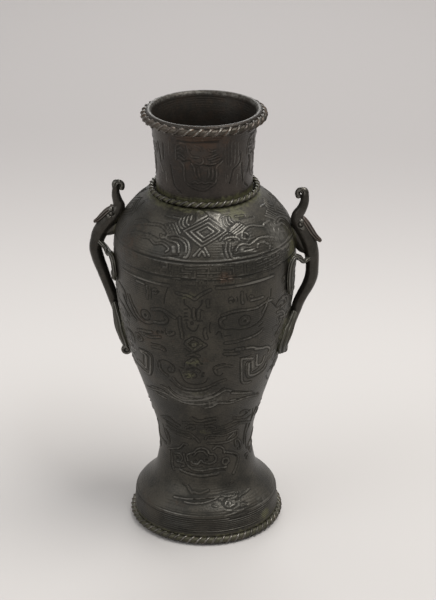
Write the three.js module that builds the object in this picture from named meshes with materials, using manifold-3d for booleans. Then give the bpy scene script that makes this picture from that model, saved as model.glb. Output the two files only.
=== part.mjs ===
// Bronze flower vase with twisted rings at its lip, collar and foot, and two beast handles.
// Millimetres, +Z up. The origin is at the centre of the foot, on the surface it stands on.
// The front faces -Y, and the handles reach out along -X (left) and +X (right).
import * as THREE from 'three';
import { mergeVertices } from 'three/addons/utils/BufferGeometryUtils.js';
import Module from 'manifold-3d';

const wasm = await Module();
wasm.setup();

// Fits and walls
const seatGap = 0.3;
const wall = 2.6;
const roundSides = 40;

// Foot: a domed skirt with a flat rim, and a spigot that enters the column
const footHeight = 31.5;
const skirtRadius = 42.4;
const rimWidth = 2.6;
const spigotHeight = 4;
const spigotWall = 2;
const plateRecess = 6;
const plateThickness = 2.4;
const plateLedgeWidth = 1.2;
const plateLedgeHeight = 1.4;

// Body: a column that swells into the belly and closes at the shoulder
const columnBaseRadius = 29.4;
const waistRadius = 26.9;
const waistHeight = 46;
const bellyRadius = 51.7;
const bellyHeight = 164;
const shoulderRise = 38.4;

// Neck: a tube let into the shoulder, flaring to a turned-out lip
const neckRadius = 26.9;
const neckWall = 2.6;
const neckRise = 47.6;
const neckSeatDepth = 3.2;
const neckLedgeHeight = 2.6;
const neckFlareStart = 12;
const lipSeatRadius = 30.35;
const lipRadius = 33.1;
const lipThickness = 1.2;
const lipEdgeDrop = 0.55;
const mouthRadius = 29.1;
const mouthRounding = 1.4;

// Twisted rings: the radius of the ring's wire, and how many times a strand crosses its outside
const lipRope = { wire: 2.1, crossings: 30 };
const collarRope = { wire: 1.9, crossings: 42 };
const footRope = { wire: 2.35, crossings: 54 };
const footRopeLift = 0.4;
const strandOverlap = 0.42;
const sectionsPerCrossing = 3;

// Handles: how far they reach from the axis, and the rivets that hold them
const handleReach = 65.8;
const crestTipReach = 0.81;
const rivetRadius = 1.3;
const rivetHeadRadius = 2.6;
const rivetHeadHeight = 1.4;
const rivetCrownRadius = 1.6;
const rivetDepth = 3.6;
const rivetSides = 12;

// Outlines: how far the radius has come between two named radii,
// at how far the height has come between two named heights
const skirtShape = [[0, 1], [0.1, 0.984], [0.215, 0.96], [0.37, 0.905], [0.5, 0.76], [0.636, 0.484],
  [0.8, 0.19], [1, 0]];
const columnShape = [[0, 1], [0.17, 0.82], [0.45, 0.5], [0.74, 0.18], [1, 0]];
const bellyShape = [[0, 0], [0.12, 0.06], [0.22, 0.2], [0.36, 0.415], [0.51, 0.66], [0.64, 0.83],
  [0.78, 0.925], [0.9, 0.975], [1, 1]];
const shoulderShape = [[0, 1], [0.3, 0.975], [0.45, 0.925], [0.575, 0.815], [0.68, 0.69], [0.79, 0.55],
  [0.9, 0.375], [0.965, 0.21], [1, 0.08]];
const neckShape = [[0, 0], [0.25, 0.09], [0.5, 0.3], [0.75, 0.575], [0.9, 0.79], [1, 1]];

// Heights and radii that follow from the sizes above
const columnBottom = footHeight + seatGap;
const shoulderTop = bellyHeight + shoulderRise;
const lipTop = shoulderTop + neckRise;
const bodyBoreRadius = columnBaseRadius - wall;
const neckSeatRadius = neckRadius + seatGap;
const neckBoreRadius = neckRadius - neckWall;
const neckLedge = shoulderTop - neckSeatDepth;
const footRopeSeat = skirtRadius - footRope.wire;

function between(low, high, shape, lowRadius, highRadius) {
  return shape.map(([rise, reach]) => new THREE.Vector2(
    THREE.MathUtils.lerp(lowRadius, highRadius, reach),
    THREE.MathUtils.lerp(low, high, rise),
  ));
}

// The same outline moved inwards (or outwards, where the distance is negative) along its own normal
function inset(stations, distance) {
  const curve = new THREE.SplineCurve(stations);
  const count = stations.length - 1;
  return stations.map((station, i) => {
    const along = curve.getTangent(i / count);
    return new THREE.Vector2(station.x - along.y * distance, station.y + along.x * distance);
  });
}

function radiusAt(outline, height) {
  const top = outline.findIndex((point) => point.y >= height);
  const a = outline[top - 1];
  const b = outline[top];
  return THREE.MathUtils.mapLinear(height, a.y, b.y, a.x, b.x);
}

// Outlines of the three cast shells, from bottom to top
const skirtBottom = footRopeLift + 2 * footRope.wire + seatGap;
const footTopRadius = columnBaseRadius + seatGap;
const footStations = between(skirtBottom, footHeight, skirtShape, footTopRadius, skirtRadius);
const bodyStations = [
  ...between(columnBottom, waistHeight, columnShape, waistRadius, columnBaseRadius),
  ...between(waistHeight, bellyHeight, bellyShape, waistRadius, bellyRadius).slice(1),
  ...between(bellyHeight, shoulderTop, shoulderShape, neckSeatRadius, bellyRadius).slice(1),
];
const bodyRadiusAt = (height) => radiusAt(bodyStations, height);
const collarRopeHeight = shoulderTop + seatGap + collarRope.wire;
const lipRopeHeight = lipTop - lipThickness - seatGap - lipRope.wire;
const neckFlareHeight = shoulderTop + neckFlareStart;
const neckStations = between(neckFlareHeight, lipRopeHeight, neckShape, neckRadius, lipSeatRadius);

// Turning closed outlines and lofted rings into geometry
function outwardFaces(geometry) {
  const p = geometry.attributes.position;
  const index = geometry.index;
  const corner = (i) => new THREE.Vector3().fromBufferAttribute(p, index.getX(i));
  let volume = 0;
  for (let i = 0; i < index.count; i += 3) {
    volume += corner(i).dot(corner(i + 1).cross(corner(i + 2)));
  }
  if (volume < 0) {
    for (let i = 0; i < index.count; i += 3) {
      const second = index.getX(i + 1);
      index.setX(i + 1, index.getX(i + 2));
      index.setX(i + 2, second);
    }
  }
  return geometry;
}

function welded(geometry) {
  geometry.deleteAttribute('normal');
  geometry.deleteAttribute('uv');
  return outwardFaces(mergeVertices(geometry, 1e-4));
}

function turned(outline, sides = roundSides, closed = true) {
  const points = outline.map(([x, y]) => new THREE.Vector2(x, y));
  if (closed) points.push(points[0].clone());
  return welded(new THREE.LatheGeometry(points, sides).rotateX(Math.PI / 2));
}

function toSolid(geometry) {
  return new wasm.Manifold(new wasm.Mesh({
    numProp: 3,
    vertProperties: Float32Array.from(geometry.attributes.position.array),
    triVerts: Uint32Array.from(geometry.index.array),
  }));
}

function toGeometry(solid) {
  const { vertProperties, triVerts } = solid.getMesh();
  const geometry = new THREE.BufferGeometry();
  geometry.setAttribute('position', new THREE.BufferAttribute(vertProperties, 3));
  geometry.setIndex(new THREE.BufferAttribute(triVerts, 1));
  return geometry;
}

const pairs = (points) => points.map((point) => [point.x, point.y]);

// Rings of points, joined side by side and closed at both ends by a point
function skin(rings, firstTip, lastTip) {
  const sides = rings[0].length;
  const points = [...rings.flat(), firstTip, lastTip];
  const first = points.length - 2;
  const last = points.length - 1;
  const faces = [];
  for (let j = 0; j < sides; j += 1) {
    const next = (j + 1) % sides;
    for (let i = 0; i < rings.length - 1; i += 1) {
      const low = i * sides;
      const high = low + sides;
      faces.push(low + j, low + next, high + next, low + j, high + next, high + j);
    }
    const end = (rings.length - 1) * sides;
    faces.push(first, next, j, last, end + j, end + next);
  }
  const geometry = new THREE.BufferGeometry().setFromPoints(points);
  geometry.setIndex(faces);
  return outwardFaces(geometry);
}

// Rounded limb ends: the last ring's share of the full section, and how far out ring and tip lie,
// as shares of the limb's half thickness there
const endRing = { share: 0.72, out: 0.55 };
const endTip = 0.9;
const acrossHandle = () => new THREE.Vector3(0, 1, 0);

// A limb that follows a curve through its stations, with an oval section and rounded ends.
// A station holds its place, its half thickness and its half width; grow makes the whole limb fatter.
function limb(stations, { sides = 8, steps = 2, grow = 0, sideOf = acrossHandle } = {}) {
  const path = new THREE.CatmullRomCurve3(stations.map((s) => s.at), false, 'centripetal');
  const sizes = new THREE.CatmullRomCurve3(stations.map((s) => new THREE.Vector3(s.thick, s.wide, 0)));
  const count = (stations.length - 1) * steps;
  const ring = (t, scale, push) => {
    const along = path.getTangent(t);
    const centre = path.getPoint(t).addScaledVector(along, push);
    const size = sizes.getPoint(t);
    const side = sideOf(centre, along);
    const up = side.clone().cross(along).normalize();
    const across = along.clone().cross(up).normalize();
    return Array.from({ length: sides }, (_, j) => {
      const turn = (j / sides) * 2 * Math.PI;
      return centre.clone()
        .addScaledVector(up, Math.cos(turn) * (size.x * scale + grow))
        .addScaledVector(across, Math.sin(turn) * (size.y * scale + grow));
    });
  };
  const tip = (t, thick, sign) => path.getPoint(t)
    .addScaledVector(path.getTangent(t), sign * (thick * endTip + grow));
  const firstThick = stations[0].thick;
  const lastThick = stations[stations.length - 1].thick;
  const rings = Array.from({ length: count + 1 }, (_, i) => ring(i / count, 1, 0));
  rings.unshift(ring(0, endRing.share, -firstThick * endRing.out));
  rings.push(ring(1, endRing.share, lastThick * endRing.out));
  return skin(rings, tip(0, firstThick, -1), tip(1, lastThick, 1));
}

// A ring of two strands laid round each other: a six-sided twin section that turns as it goes round
function twistedRing({ wire, crossings }, innerRadius, height) {
  const ringRadius = innerRadius + wire;
  const sections = crossings * sectionsPerCrossing;
  const lobe = wire * (1 - strandOverlap);
  const section = [[wire, 0], [wire * 0.5, lobe], [-wire * 0.5, lobe], [-wire, 0], [-wire * 0.5, -lobe],
    [wire * 0.5, -lobe]];
  const points = [];
  const faces = [];
  for (let i = 0; i < sections; i += 1) {
    const around = (i / sections) * 2 * Math.PI;
    const twist = (i / sectionsPerCrossing) * Math.PI;
    section.forEach(([u, v], j) => {
      const out = ringRadius + u * Math.cos(twist) - v * Math.sin(twist);
      const up = height + u * Math.sin(twist) + v * Math.cos(twist);
      points.push(new THREE.Vector3(out * Math.cos(around), out * Math.sin(around), up));
      const nextRow = ((i + 1) % sections) * section.length;
      const row = i * section.length;
      const next = (j + 1) % section.length;
      faces.push(row + j, nextRow + j, row + next, nextRow + j, nextRow + next, row + next);
    });
  }
  const geometry = new THREE.BufferGeometry().setFromPoints(points);
  geometry.setIndex(faces);
  return outwardFaces(geometry);
}

// The foot: rim and seat for the ring, skirt and dome, spigot, and the ledge above the plate
function footGeometry() {
  const spigotRadius = bodyBoreRadius - seatGap;
  const rimInner = footRopeSeat - seatGap - rimWidth;
  const ledge = plateRecess + plateThickness + seatGap;
  const ledgeTop = ledge + plateLedgeHeight;
  const dome = inset(footStations, wall);
  const inside = dome.filter(({ y }) => y > ledgeTop + plateLedgeHeight && y < footHeight - wall).reverse();
  const skirtInner = inside[inside.length - 1].x;
  return turned([
    [footRopeSeat - seatGap, 0],
    [footRopeSeat - seatGap, skirtBottom],
    ...pairs(footStations),
    [spigotRadius, footHeight],
    [spigotRadius, footHeight + spigotHeight],
    [spigotRadius - spigotWall, footHeight + spigotHeight],
    [spigotRadius - spigotWall, footHeight - wall],
    ...pairs(inside),
    [skirtInner, ledgeTop + plateLedgeHeight],
    [rimInner - plateLedgeWidth, ledgeTop],
    [rimInner - plateLedgeWidth, ledge],
    [rimInner, ledge],
    [rimInner, 0],
  ]);
}

// The plate that closes the vase, soldered up into the foot
function basePlateGeometry() {
  const radius = footRopeSeat - 2 * seatGap - rimWidth;
  const chamfer = 0.5;
  const top = plateRecess + plateThickness;
  return turned([
    [0, plateRecess],
    [radius - chamfer, plateRecess],
    [radius, plateRecess + chamfer],
    [radius, top],
    [0, top],
  ], roundSides, false);
}

// A rivet stands square to the wall: in its own frame the wall's outside is at zero and +Z points out
function rivetFrame(height) {
  const step = 1;
  const slope = Math.atan2(bodyRadiusAt(height - step) - bodyRadiusAt(height + step), 2 * step);
  const frame = new THREE.Matrix4().makeRotationY(Math.PI / 2 - slope);
  frame.setPosition(bodyRadiusAt(height), 0, height);
  return frame;
}

function rivetGeometry(height) {
  const facetGap = rivetHeadRadius * Math.tan(Math.PI / roundSides);
  const seat = -wall - seatGap - facetGap;
  const geometry = turned([
    [0, seat - rivetHeadHeight],
    [rivetCrownRadius, seat - rivetHeadHeight],
    [rivetHeadRadius, seat - rivetHeadHeight / 3],
    [rivetHeadRadius, seat],
    [rivetRadius, seat],
    [rivetRadius, rivetDepth],
    [0, rivetDepth],
  ], rivetSides, false);
  return geometry.applyMatrix4(rivetFrame(height));
}

function rivetHole(height) {
  const radius = rivetRadius + seatGap;
  const below = -2 * wall - seatGap;
  const geometry = turned([[0, below], [radius, below], [radius, rivetDepth + seatGap],
    [0, rivetDepth + seatGap]], rivetSides, false);
  return toSolid(geometry.applyMatrix4(rivetFrame(height)));
}

// The body: outside from the column to the shoulder, then back down inside, with seats for neck and foot
function bodyGeometry(rivetHeights) {
  const spigotSeat = footHeight + spigotHeight + seatGap;
  const ledgeBottom = neckLedge - neckLedgeHeight;
  const clear = ({ x, y }) => y > spigotSeat + seatGap && y < ledgeBottom && x > neckBoreRadius;
  const inside = inset(bodyStations, wall).filter(clear);
  const shell = toSolid(turned([
    ...pairs(bodyStations),
    [neckSeatRadius, shoulderTop],
    [neckSeatRadius, neckLedge],
    [neckBoreRadius, neckLedge],
    [neckBoreRadius, ledgeBottom],
    ...pairs(inside.reverse()),
    [bodyBoreRadius - spigotWall, spigotSeat + seatGap],
    [bodyBoreRadius, spigotSeat],
    [bodyBoreRadius, columnBottom],
  ]));
  const holes = rivetHeights.flatMap(({ left, right }) => [
    rivetHole(right),
    rivetHole(left).rotate([0, 0, 180]),
  ]);
  return toGeometry(holes.reduce((solid, hole) => solid.subtract(hole), shell));
}

// The neck: a plain tube that flares and turns out flat over its twisted ring
function neckGeometry() {
  const inside = inset(neckStations, neckWall).filter(({ x }) => x > neckBoreRadius);
  const underLip = lipTop - lipThickness;
  const highestRadius = (mouthRadius + lipRadius) / 2;
  return turned([
    [neckRadius, neckLedge + seatGap],
    ...pairs(neckStations),
    [lipSeatRadius + seatGap / 2, underLip],
    [lipRadius, underLip],
    [lipRadius, lipTop - lipEdgeDrop],
    [highestRadius, lipTop],
    [mouthRadius + mouthRounding / 3, lipTop - mouthRounding / 3],
    [mouthRadius, lipTop - mouthRounding],
    ...pairs(inside.reverse().slice(1)),
    [neckBoreRadius, neckStations[0].y],
    [neckBoreRadius, neckLedge + seatGap],
  ]);
}

// Handle shapes, each beast with its own stations, as the two were finished by hand.
// A station of trunk, head, stem, breast or crest: out from the belly's radius, up from its height,
// half thickness, half width. A station of a leg: arc round the belly from the handle towards the front,
// distance off the body, up from the belly's height. Rivets: up from the belly's height.
const beasts = {
  left: {
    curl: { out: -3.6, up: 38.4, radius: 2.1, start: 205, end: 95 },
    trunk: [[-1.9, 40, 1.95, 1.9], [-2, 36.9, 1.95, 1.9], [-2, 33.4, 2.35, 2.2], [-2.9, 29.6, 2.8, 2.5],
      [-3.7, 26.6, 3.3, 3]],
    head: [[-1.9, 22.8, 4.2, 4], [2.7, 17.8, 4.5, 4.3]],
    stem: [[7.4, 10.8, 4.3, 4.2], [9.6, 5.2, 3.9, 3.9], [handleReach - bellyRadius - 3.6, 0.6, 3.6, 3.6],
      [9, -5.6, 3.5, 3.5], [7, -11.6, 3.3, 3.4], [4.9, -17.8, 3.1, 3.3], [2.6, -24.2, 3.1, 3.2],
      [0.6, -30.5, 3, 3.1], [-1, -37, 2.4, 3], [-2.6, -42.6, 1.7, 2.8], [-3.5, -48.1, 1.85, 2.6],
      [-4.6, -53, 1.9, 2.5], [-5.7, -57.5, 1.8, 2.4]],
    breast: [[-1.5, 14, 3.6, 3.2], [2, 12.4, 3.4, 3.2], [6, 11.4, 3, 3]],
    eye: [0.2, 23.6],
    crest: [[-0.6, 26, 1.1, 2.4], [2.6, 24.2, 1.35, 3.4], [5.2, 21.4, 1.35, 3.4], [8, 18.5, 1.2, 2.8],
      [10.4, 16.6, 0.8, 1.8]],
    foreleg: [[1.6, 8, 6], [4.6, 4.4, 3.6], [9, 2.6, 2.6], [14.4, 1.6, 2.6], [19.4, 1.2, 0.6],
      [21, 1.2, -4], [19.6, 1.8, -9.4]],
    hindLeg: [[4.6, 2.4, -31.5], [8.6, 1.9, -37], [12.6, 1.6, -42.5], [13.2, 1.6, -48], [10, 1.7, -54]],
    scroll: { out: -6.2, up: -61.2, radius: 3 },
    rivets: [16, -32],
  },
  right: {
    curl: { out: 2.1, up: 38, radius: 2.2, start: 215, end: 80 },
    trunk: [[3.9, 39.6, 1.95, 1.9], [4.1, 36.4, 2.2, 2], [3.6, 32.6, 2.5, 2.3], [2.1, 28.8, 2.8, 2.5],
      [0.2, 25.4, 3.3, 3]],
    head: [[0.6, 21.6, 4.2, 4], [4, 15.6, 4.5, 4.3]],
    stem: [[6.8, 8.6, 4.4, 4.2], [8.3, 2.4, 4, 3.9], [8.7, -4, 3.6, 3.6], [8.3, -10.6, 3.6, 3.5],
      [6.4, -16.4, 3.4, 3.4], [3.9, -21.4, 3.2, 3.3], [1.6, -26.4, 3.1, 3.2], [0, -31.5, 2.9, 3.1],
      [-1.5, -38, 2.1, 3], [-2.6, -43, 1.6, 2.8], [-4, -48.5, 1.6, 2.6], [-5.4, -52.6, 1.5, 2.4],
      [-6.2, -55.4, 1.4, 2.4]],
    breast: [[-1.6, 16.5, 3.2, 3.2], [0.6, 11.5, 3.8, 3.4], [2.8, 7.2, 3.5, 3.2], [5.6, 5.4, 3, 3]],
    eye: [1.9, 21.4],
    crest: [[3.3, 23.4, 1.1, 2.4], [5.6, 20.6, 1.35, 3.4], [8, 16.4, 1.35, 3.4], [10.5, 12.8, 1.2, 2.8],
      [handleReach - bellyRadius - crestTipReach, 10.4, 0.9, 1.9]],
    foreleg: [[2, 7.6, 1], [5.6, 4.6, 0.6], [9.4, 3.4, 4], [13.4, 2.4, 5.6], [16.6, 1.6, 2], [17, 1.4, -6],
      [15, 1.6, -15]],
    hindLeg: [[4.6, 2.2, -32], [8.6, 1.9, -37], [12.6, 1.6, -42], [13.4, 1.6, -47.5], [10, 1.7, -53.5]],
    scroll: { out: -6.5, up: -56.1, radius: 2.1 },
    rivets: [14, -31.5],
  },
};
const curlThick = { tip: 1.45, root: 1.9 };
const curlSteps = 3;
const legThick = 1.4;
const forelegWide = [1.6, 1.7, 1.9, 2.2, 2.5, 2.7, 2.7];
const hindLegWide = [2, 2.4, 2.9, 3, 2.6];
const scrollWide = 2.6;
const scrollChamfer = 0.7;
const eyeRadius = 1.2;
const eyeSink = 0.5;
const eyeSides = 8;

const inPlane = ([out, up, thick, wide]) => ({
  at: new THREE.Vector3(bellyRadius + out, 0, bellyHeight + up),
  thick,
  wide,
});

// A point beside the handle's plane: an arc along the belly, a height, and how far it stands off the body
function onBody(arc, standoff, up) {
  const height = bellyHeight + up;
  const turn = arc / bellyRadius;
  const radius = bodyRadiusAt(height) + standoff;
  return new THREE.Vector3(radius * Math.cos(turn), radius * Math.sin(turn), height);
}

const acrossBody = (centre, along) => new THREE.Vector3(centre.x, centre.y, 0).cross(along).normalize();

const legStations = (rows, widths, side) => rows.map(([arc, standoff, up], i) => ({
  at: onBody(side * arc, standoff, up),
  thick: legThick,
  wide: widths[i],
}));

// Everything inside the body's outside, with the seat's clearance, so that what lies on the body follows it
function bodyKeepOut() {
  const grown = inset(bodyStations, -seatGap).filter(({ x }) => x > neckRadius);
  const low = grown[0].y;
  const high = grown[grown.length - 1].y;
  return toSolid(turned([[0, low], ...pairs(grown), [0, high]]));
}

const crestSolid = (beast, grow = 0) => toSolid(limb(beast.crest.map(inPlane), { grow }));

const legSolid = (rows, widths, side, grow = 0) => toSolid(
  limb(legStations(rows, widths, side), { steps: 2, sides: 6, grow, sideOf: acrossBody }),
);

// The rolled end of the tail: a short drum lying across the handle's plane
function scrollSolid({ out, up, radius }) {
  const face = radius - scrollChamfer;
  const edge = scrollWide - scrollChamfer;
  const drum = turned([[0, -scrollWide], [face, -scrollWide], [radius, -edge], [radius, edge],
    [face, scrollWide], [0, scrollWide]], rivetSides, false);
  drum.rotateX(Math.PI / 2).translate(bellyRadius + out, 0, bellyHeight + up);
  return toSolid(drum);
}

function curlStations({ out, up, radius, start, end }) {
  return Array.from({ length: curlSteps + 1 }, (_, i) => {
    const turn = THREE.MathUtils.degToRad(THREE.MathUtils.lerp(start, end, i / curlSteps));
    const thick = THREE.MathUtils.lerp(curlThick.tip, curlThick.root, i / curlSteps);
    return inPlane([out + radius * Math.cos(turn), up + radius * Math.sin(turn), thick, thick]);
  });
}

// The beast: rolled trunk tip, raised trunk, head, breast and the long stem that bows back to the body
function beastSolid(beast) {
  const curl = curlStations(beast.curl);
  const main = [curl[curlSteps], ...[...beast.trunk, ...beast.head, ...beast.stem].map(inPlane)];
  const parts = [
    toSolid(limb(curl, { sides: 8, steps: 1 })),
    toSolid(limb(main, { sides: 10, steps: 1 })),
    toSolid(limb(beast.breast.map(inPlane), { sides: 8, steps: 1 })),
    scrollSolid(beast.scroll),
  ];
  for (const side of [-1, 1]) {
    const eye = new THREE.SphereGeometry(eyeRadius, eyeSides, eyeSides - 2);
    const [out, up] = beast.eye;
    const headWide = beast.head[0][3];
    eye.translate(bellyRadius + out, side * (headWide - eyeSink), bellyHeight + up);
    parts.push(toSolid(welded(eye)));
  }
  return parts.reduce((all, part) => all.add(part));
}

// Surfaces: old bronze, from brown through near black to green where the pieces were brazed
const metalness = 0.75;
const bronze = (color, roughness) => new THREE.MeshStandardMaterial({ color, roughness, metalness });
const finishes = {
  vessel: bronze(0x3d3833, 0.42),
  rim: bronze(0x443e37, 0.36),
  rope: bronze(0x45422f, 0.4),
  handle: bronze(0x2f3029, 0.42),
  crest: bronze(0x3f322b, 0.45),
  plate: bronze(0x3a362c, 0.6),
  rivet: bronze(0x4a3f2d, 0.5),
};

function part(name, geometry, finish) {
  const mesh = new THREE.Mesh(geometry, finishes[finish].clone());
  mesh.name = name;
  geometry.computeVertexNormals();
  return mesh;
}

const vase = new THREE.Group();
const rivetHeight = (side, which) => bellyHeight + beasts[side].rivets[which];
const rivetHeights = [0, 1].map((which) => ({
  left: rivetHeight('left', which),
  right: rivetHeight('right', which),
}));

vase.add(
  part('foot', footGeometry(), 'vessel'),
  part('base_plate', basePlateGeometry(), 'plate'),
  part('body', bodyGeometry(rivetHeights), 'vessel'),
  part('neck', neckGeometry(), 'rim'),
  part('foot_rope', twistedRing(footRope, footRopeSeat, footRopeLift + footRope.wire), 'rope'),
  part('collar_rope', twistedRing(collarRope, neckSeatRadius, collarRopeHeight), 'rope'),
  part('lip_rope', twistedRing(lipRope, lipSeatRadius + seatGap, lipRopeHeight), 'rope'),
);

// Each handle is built reaching along +X, and the left one is then turned half way round the vase
const keepOut = bodyKeepOut();
for (const [name, beast] of Object.entries(beasts)) {
  const handle = new THREE.Group();
  const front = name === 'left' ? 1 : -1;
  let stem = beastSolid(beast).subtract(keepOut).subtract(crestSolid(beast, seatGap))
    .subtract(legSolid(beast.foreleg, forelegWide, front, seatGap))
    .subtract(legSolid(beast.hindLeg, hindLegWide, front, seatGap));
  beast.rivets.forEach((up) => {
    stem = stem.subtract(rivetHole(bellyHeight + up));
  });
  const foreleg = legSolid(beast.foreleg, forelegWide, front).subtract(keepOut);
  const hindLeg = legSolid(beast.hindLeg, hindLegWide, front).subtract(keepOut);
  handle.add(
    part(`${name}_handle`, toGeometry(stem), 'handle'),
    part(`${name}_crest`, toGeometry(crestSolid(beast)), 'crest'),
    part(`${name}_foreleg`, toGeometry(foreleg), 'handle'),
    part(`${name}_hind_leg`, toGeometry(hindLeg), 'handle'),
  );
  ['upper', 'lower'].forEach((where, i) => {
    handle.add(part(`${name}_${where}_rivet`, rivetGeometry(bellyHeight + beast.rivets[i]), 'rivet'));
  });
  if (name === 'left') handle.rotation.z = Math.PI;
  vase.add(handle);
}

export default vase;
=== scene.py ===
"""Dresses a cast bronze vase: chased shells, twisted rings, beast handles, old patina and a plain studio."""
import math

import bmesh
import bpy
import numpy as np
from bpy.props import FloatProperty, FloatVectorProperty, IntProperty, PointerProperty
from mathutils import Matrix, Vector
from mathutils.bvhtree import BVHTree


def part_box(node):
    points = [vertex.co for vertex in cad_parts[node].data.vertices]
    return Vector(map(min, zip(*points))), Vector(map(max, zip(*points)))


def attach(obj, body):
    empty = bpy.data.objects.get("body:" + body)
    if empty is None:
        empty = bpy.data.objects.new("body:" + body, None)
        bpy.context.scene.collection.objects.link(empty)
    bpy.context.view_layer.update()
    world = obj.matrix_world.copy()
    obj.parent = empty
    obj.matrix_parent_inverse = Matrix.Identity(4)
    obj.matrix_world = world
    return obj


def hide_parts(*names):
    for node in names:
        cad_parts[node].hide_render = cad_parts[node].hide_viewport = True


bl_info = {
    "name": "Bronze Vase Dresser",
    "version": (1, 0, 0),
    "blender": (4, 5, 0),
    "location": "View3D > Sidebar > Bronze Vase",
    "description": "Builds the chased shells, twisted rings and beast handles of a bronze vase",
    "category": "Object",
}

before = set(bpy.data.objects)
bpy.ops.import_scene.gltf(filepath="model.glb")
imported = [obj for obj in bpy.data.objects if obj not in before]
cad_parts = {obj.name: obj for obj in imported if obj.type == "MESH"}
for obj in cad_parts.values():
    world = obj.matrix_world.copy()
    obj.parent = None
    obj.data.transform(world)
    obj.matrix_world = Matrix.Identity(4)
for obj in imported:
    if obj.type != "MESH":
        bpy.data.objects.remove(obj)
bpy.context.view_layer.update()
MM = 0.001

# Measures that the shells share with the CAD solids
SEAM = 31.5 * MM  # height where foot and body meet
SKIRT_EDGE = 5.6 * MM  # height where the chased outside of the foot begins
COLLAR_SEAT = 202.3 * MM  # height where the chased outside of the body ends
WALL = 2.6 * MM
BORE = 24.3 * MM  # inside radius of the neck and of the body's narrow end
NECK_SEAT = 27.2 * MM  # radius of the seat in the body that the neck stands in
SPIGOT_SEAT = 26.8 * MM  # radius of the seat in the body that the foot's spigot fills
# The dome of the foot is fuller above its skirt than in the CAD model: at what height, how far up and down, how much
FOOT_DOME = {"height": 20.0 * MM, "reach": 3.8 * MM, "fuller": 1.8 * MM}
OUTLINE_STEP = 0.25 * MM
CURVE_STEPS = 6  # how many short pieces stand for a curved line between two of its places


# Sizes and colours that a user would change

class VaseShellSettings(bpy.types.PropertyGroup):
    grid: FloatProperty(
        name="Grid", description="Spacing of the points on the chased surfaces",
        default=0.42 * MM, min=0.1 * MM, precision=5, unit="LENGTH", subtype="DISTANCE")
    line_height: FloatProperty(
        name="Line height", description="How far a raised line stands above the ground",
        default=0.42 * MM, precision=5, unit="LENGTH", subtype="DISTANCE")
    line_width: FloatProperty(
        name="Line width", description="Width of a raised line across its foot",
        default=1.15 * MM, precision=5, unit="LENGTH", subtype="DISTANCE")


class VaseRingSettings(bpy.types.PropertyGroup):
    lip_crossings: IntProperty(name="Lip crossings", description="Strand crossings round the lip", default=38)
    collar_crossings: IntProperty(name="Collar crossings", description="Strand crossings round the collar", default=42)
    foot_crossings: IntProperty(name="Foot crossings", description="Strand crossings round the foot", default=60)


class VaseHandleSettings(bpy.types.PropertyGroup):
    skin_grid: FloatProperty(
        name="Skin grid", description="Spacing of the points on the handles",
        default=0.28 * MM, min=0.1 * MM, precision=5, unit="LENGTH", subtype="DISTANCE")


class VaseFinishSettings(bpy.types.PropertyGroup):
    dark: FloatVectorProperty(
        name="Dark bronze", description="Ground colour of the patina", subtype="COLOR",
        default=(0.0215, 0.0200, 0.0158), min=0.0, max=1.0)
    light: FloatVectorProperty(
        name="Light bronze", description="Colour of the thinner patina", subtype="COLOR",
        default=(0.051, 0.0455, 0.0355), min=0.0, max=1.0)
    brown: FloatVectorProperty(
        name="Brown", description="Reddish brown patches", subtype="COLOR",
        default=(0.062, 0.036, 0.022), min=0.0, max=1.0)
    green: FloatVectorProperty(
        name="Green", description="Green bloom at the joints", subtype="COLOR",
        default=(0.088, 0.086, 0.039), min=0.0, max=1.0)
    # This colour also paints the highlights of the sheen spots and of the worn lip.
    rubbed: FloatVectorProperty(
        name="Rubbed metal", description="Raised places that hands have rubbed", subtype="COLOR",
        default=(0.135, 0.128, 0.112), min=0.0, max=1.0)


class VaseStageSettings(bpy.types.PropertyGroup):
    lens: FloatProperty(name="Lens", description="Focal length in millimetres", default=120.71, unit="CAMERA")
    # The three floor colours paint the light falling off across the floor: a little darker in front, lightest just
    # behind the vase and darkest far behind.
    floor_near: FloatVectorProperty(
        name="Near floor", description="Colour of the floor in front", subtype="COLOR",
        default=(0.50, 0.481, 0.467), min=0.0, max=1.0)
    floor_middle: FloatVectorProperty(
        name="Middle floor", description="Colour of the floor a little behind the vase", subtype="COLOR",
        default=(0.532, 0.513, 0.499), min=0.0, max=1.0)
    floor_far: FloatVectorProperty(
        name="Far floor", description="Colour of the floor behind", subtype="COLOR",
        default=(0.369, 0.352, 0.347), min=0.0, max=1.0)


# Meshes

def spacing(full):
    return full * 1


def new_piece(name, points, faces, smooth=True):
    """A mesh object from points in metres and the faces between them."""
    mesh = bpy.data.meshes.new(name)
    mesh.from_pydata(points, [], faces)
    if smooth:
        mesh.shade_smooth()
    mesh.update()
    piece = bpy.data.objects.new(name, mesh)
    bpy.context.collection.objects.link(piece)
    return piece


def grid_faces(rows, columns):
    """Quads between neighbouring rows of points, each row closed into a ring."""
    i, j = np.meshgrid(np.arange(rows - 1), np.arange(columns), indexing="ij")
    k = (j + 1) % columns
    return np.stack([i * columns + j, i * columns + k, (i + 1) * columns + k, (i + 1) * columns + j], -1).reshape(-1, 4)


def carry(piece, label, values):
    """Stores one value for each point of a piece, for its material to read."""
    attribute = piece.data.attributes.new(label, "FLOAT", "POINT")
    attribute.data.foreach_set("value", values.astype(np.float32))


# Search trees of the CAD nodes, each made when it is first needed
OUTSIDES = {}


def outside_at(node, height):
    """Outside radius of a turned CAD node at one height, in metres."""
    if node.name not in OUTSIDES:
        corners = [vertex.co for vertex in node.data.vertices]
        OUTSIDES[node.name] = BVHTree.FromPolygons(corners, [face.vertices for face in node.data.polygons])
    place = OUTSIDES[node.name].ray_cast(Vector((1e-5, 0.2, height)), Vector((0, -1, 0)))[0]
    if place is None:
        raise RuntimeError(f"no surface of {node.name} at {height:.4f}")
    return place.y


def even_heights(low, high):
    """Heights from low to high, about one outline step apart."""
    return np.linspace(low, high, int((high - low) / OUTLINE_STEP) + 1)


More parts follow.
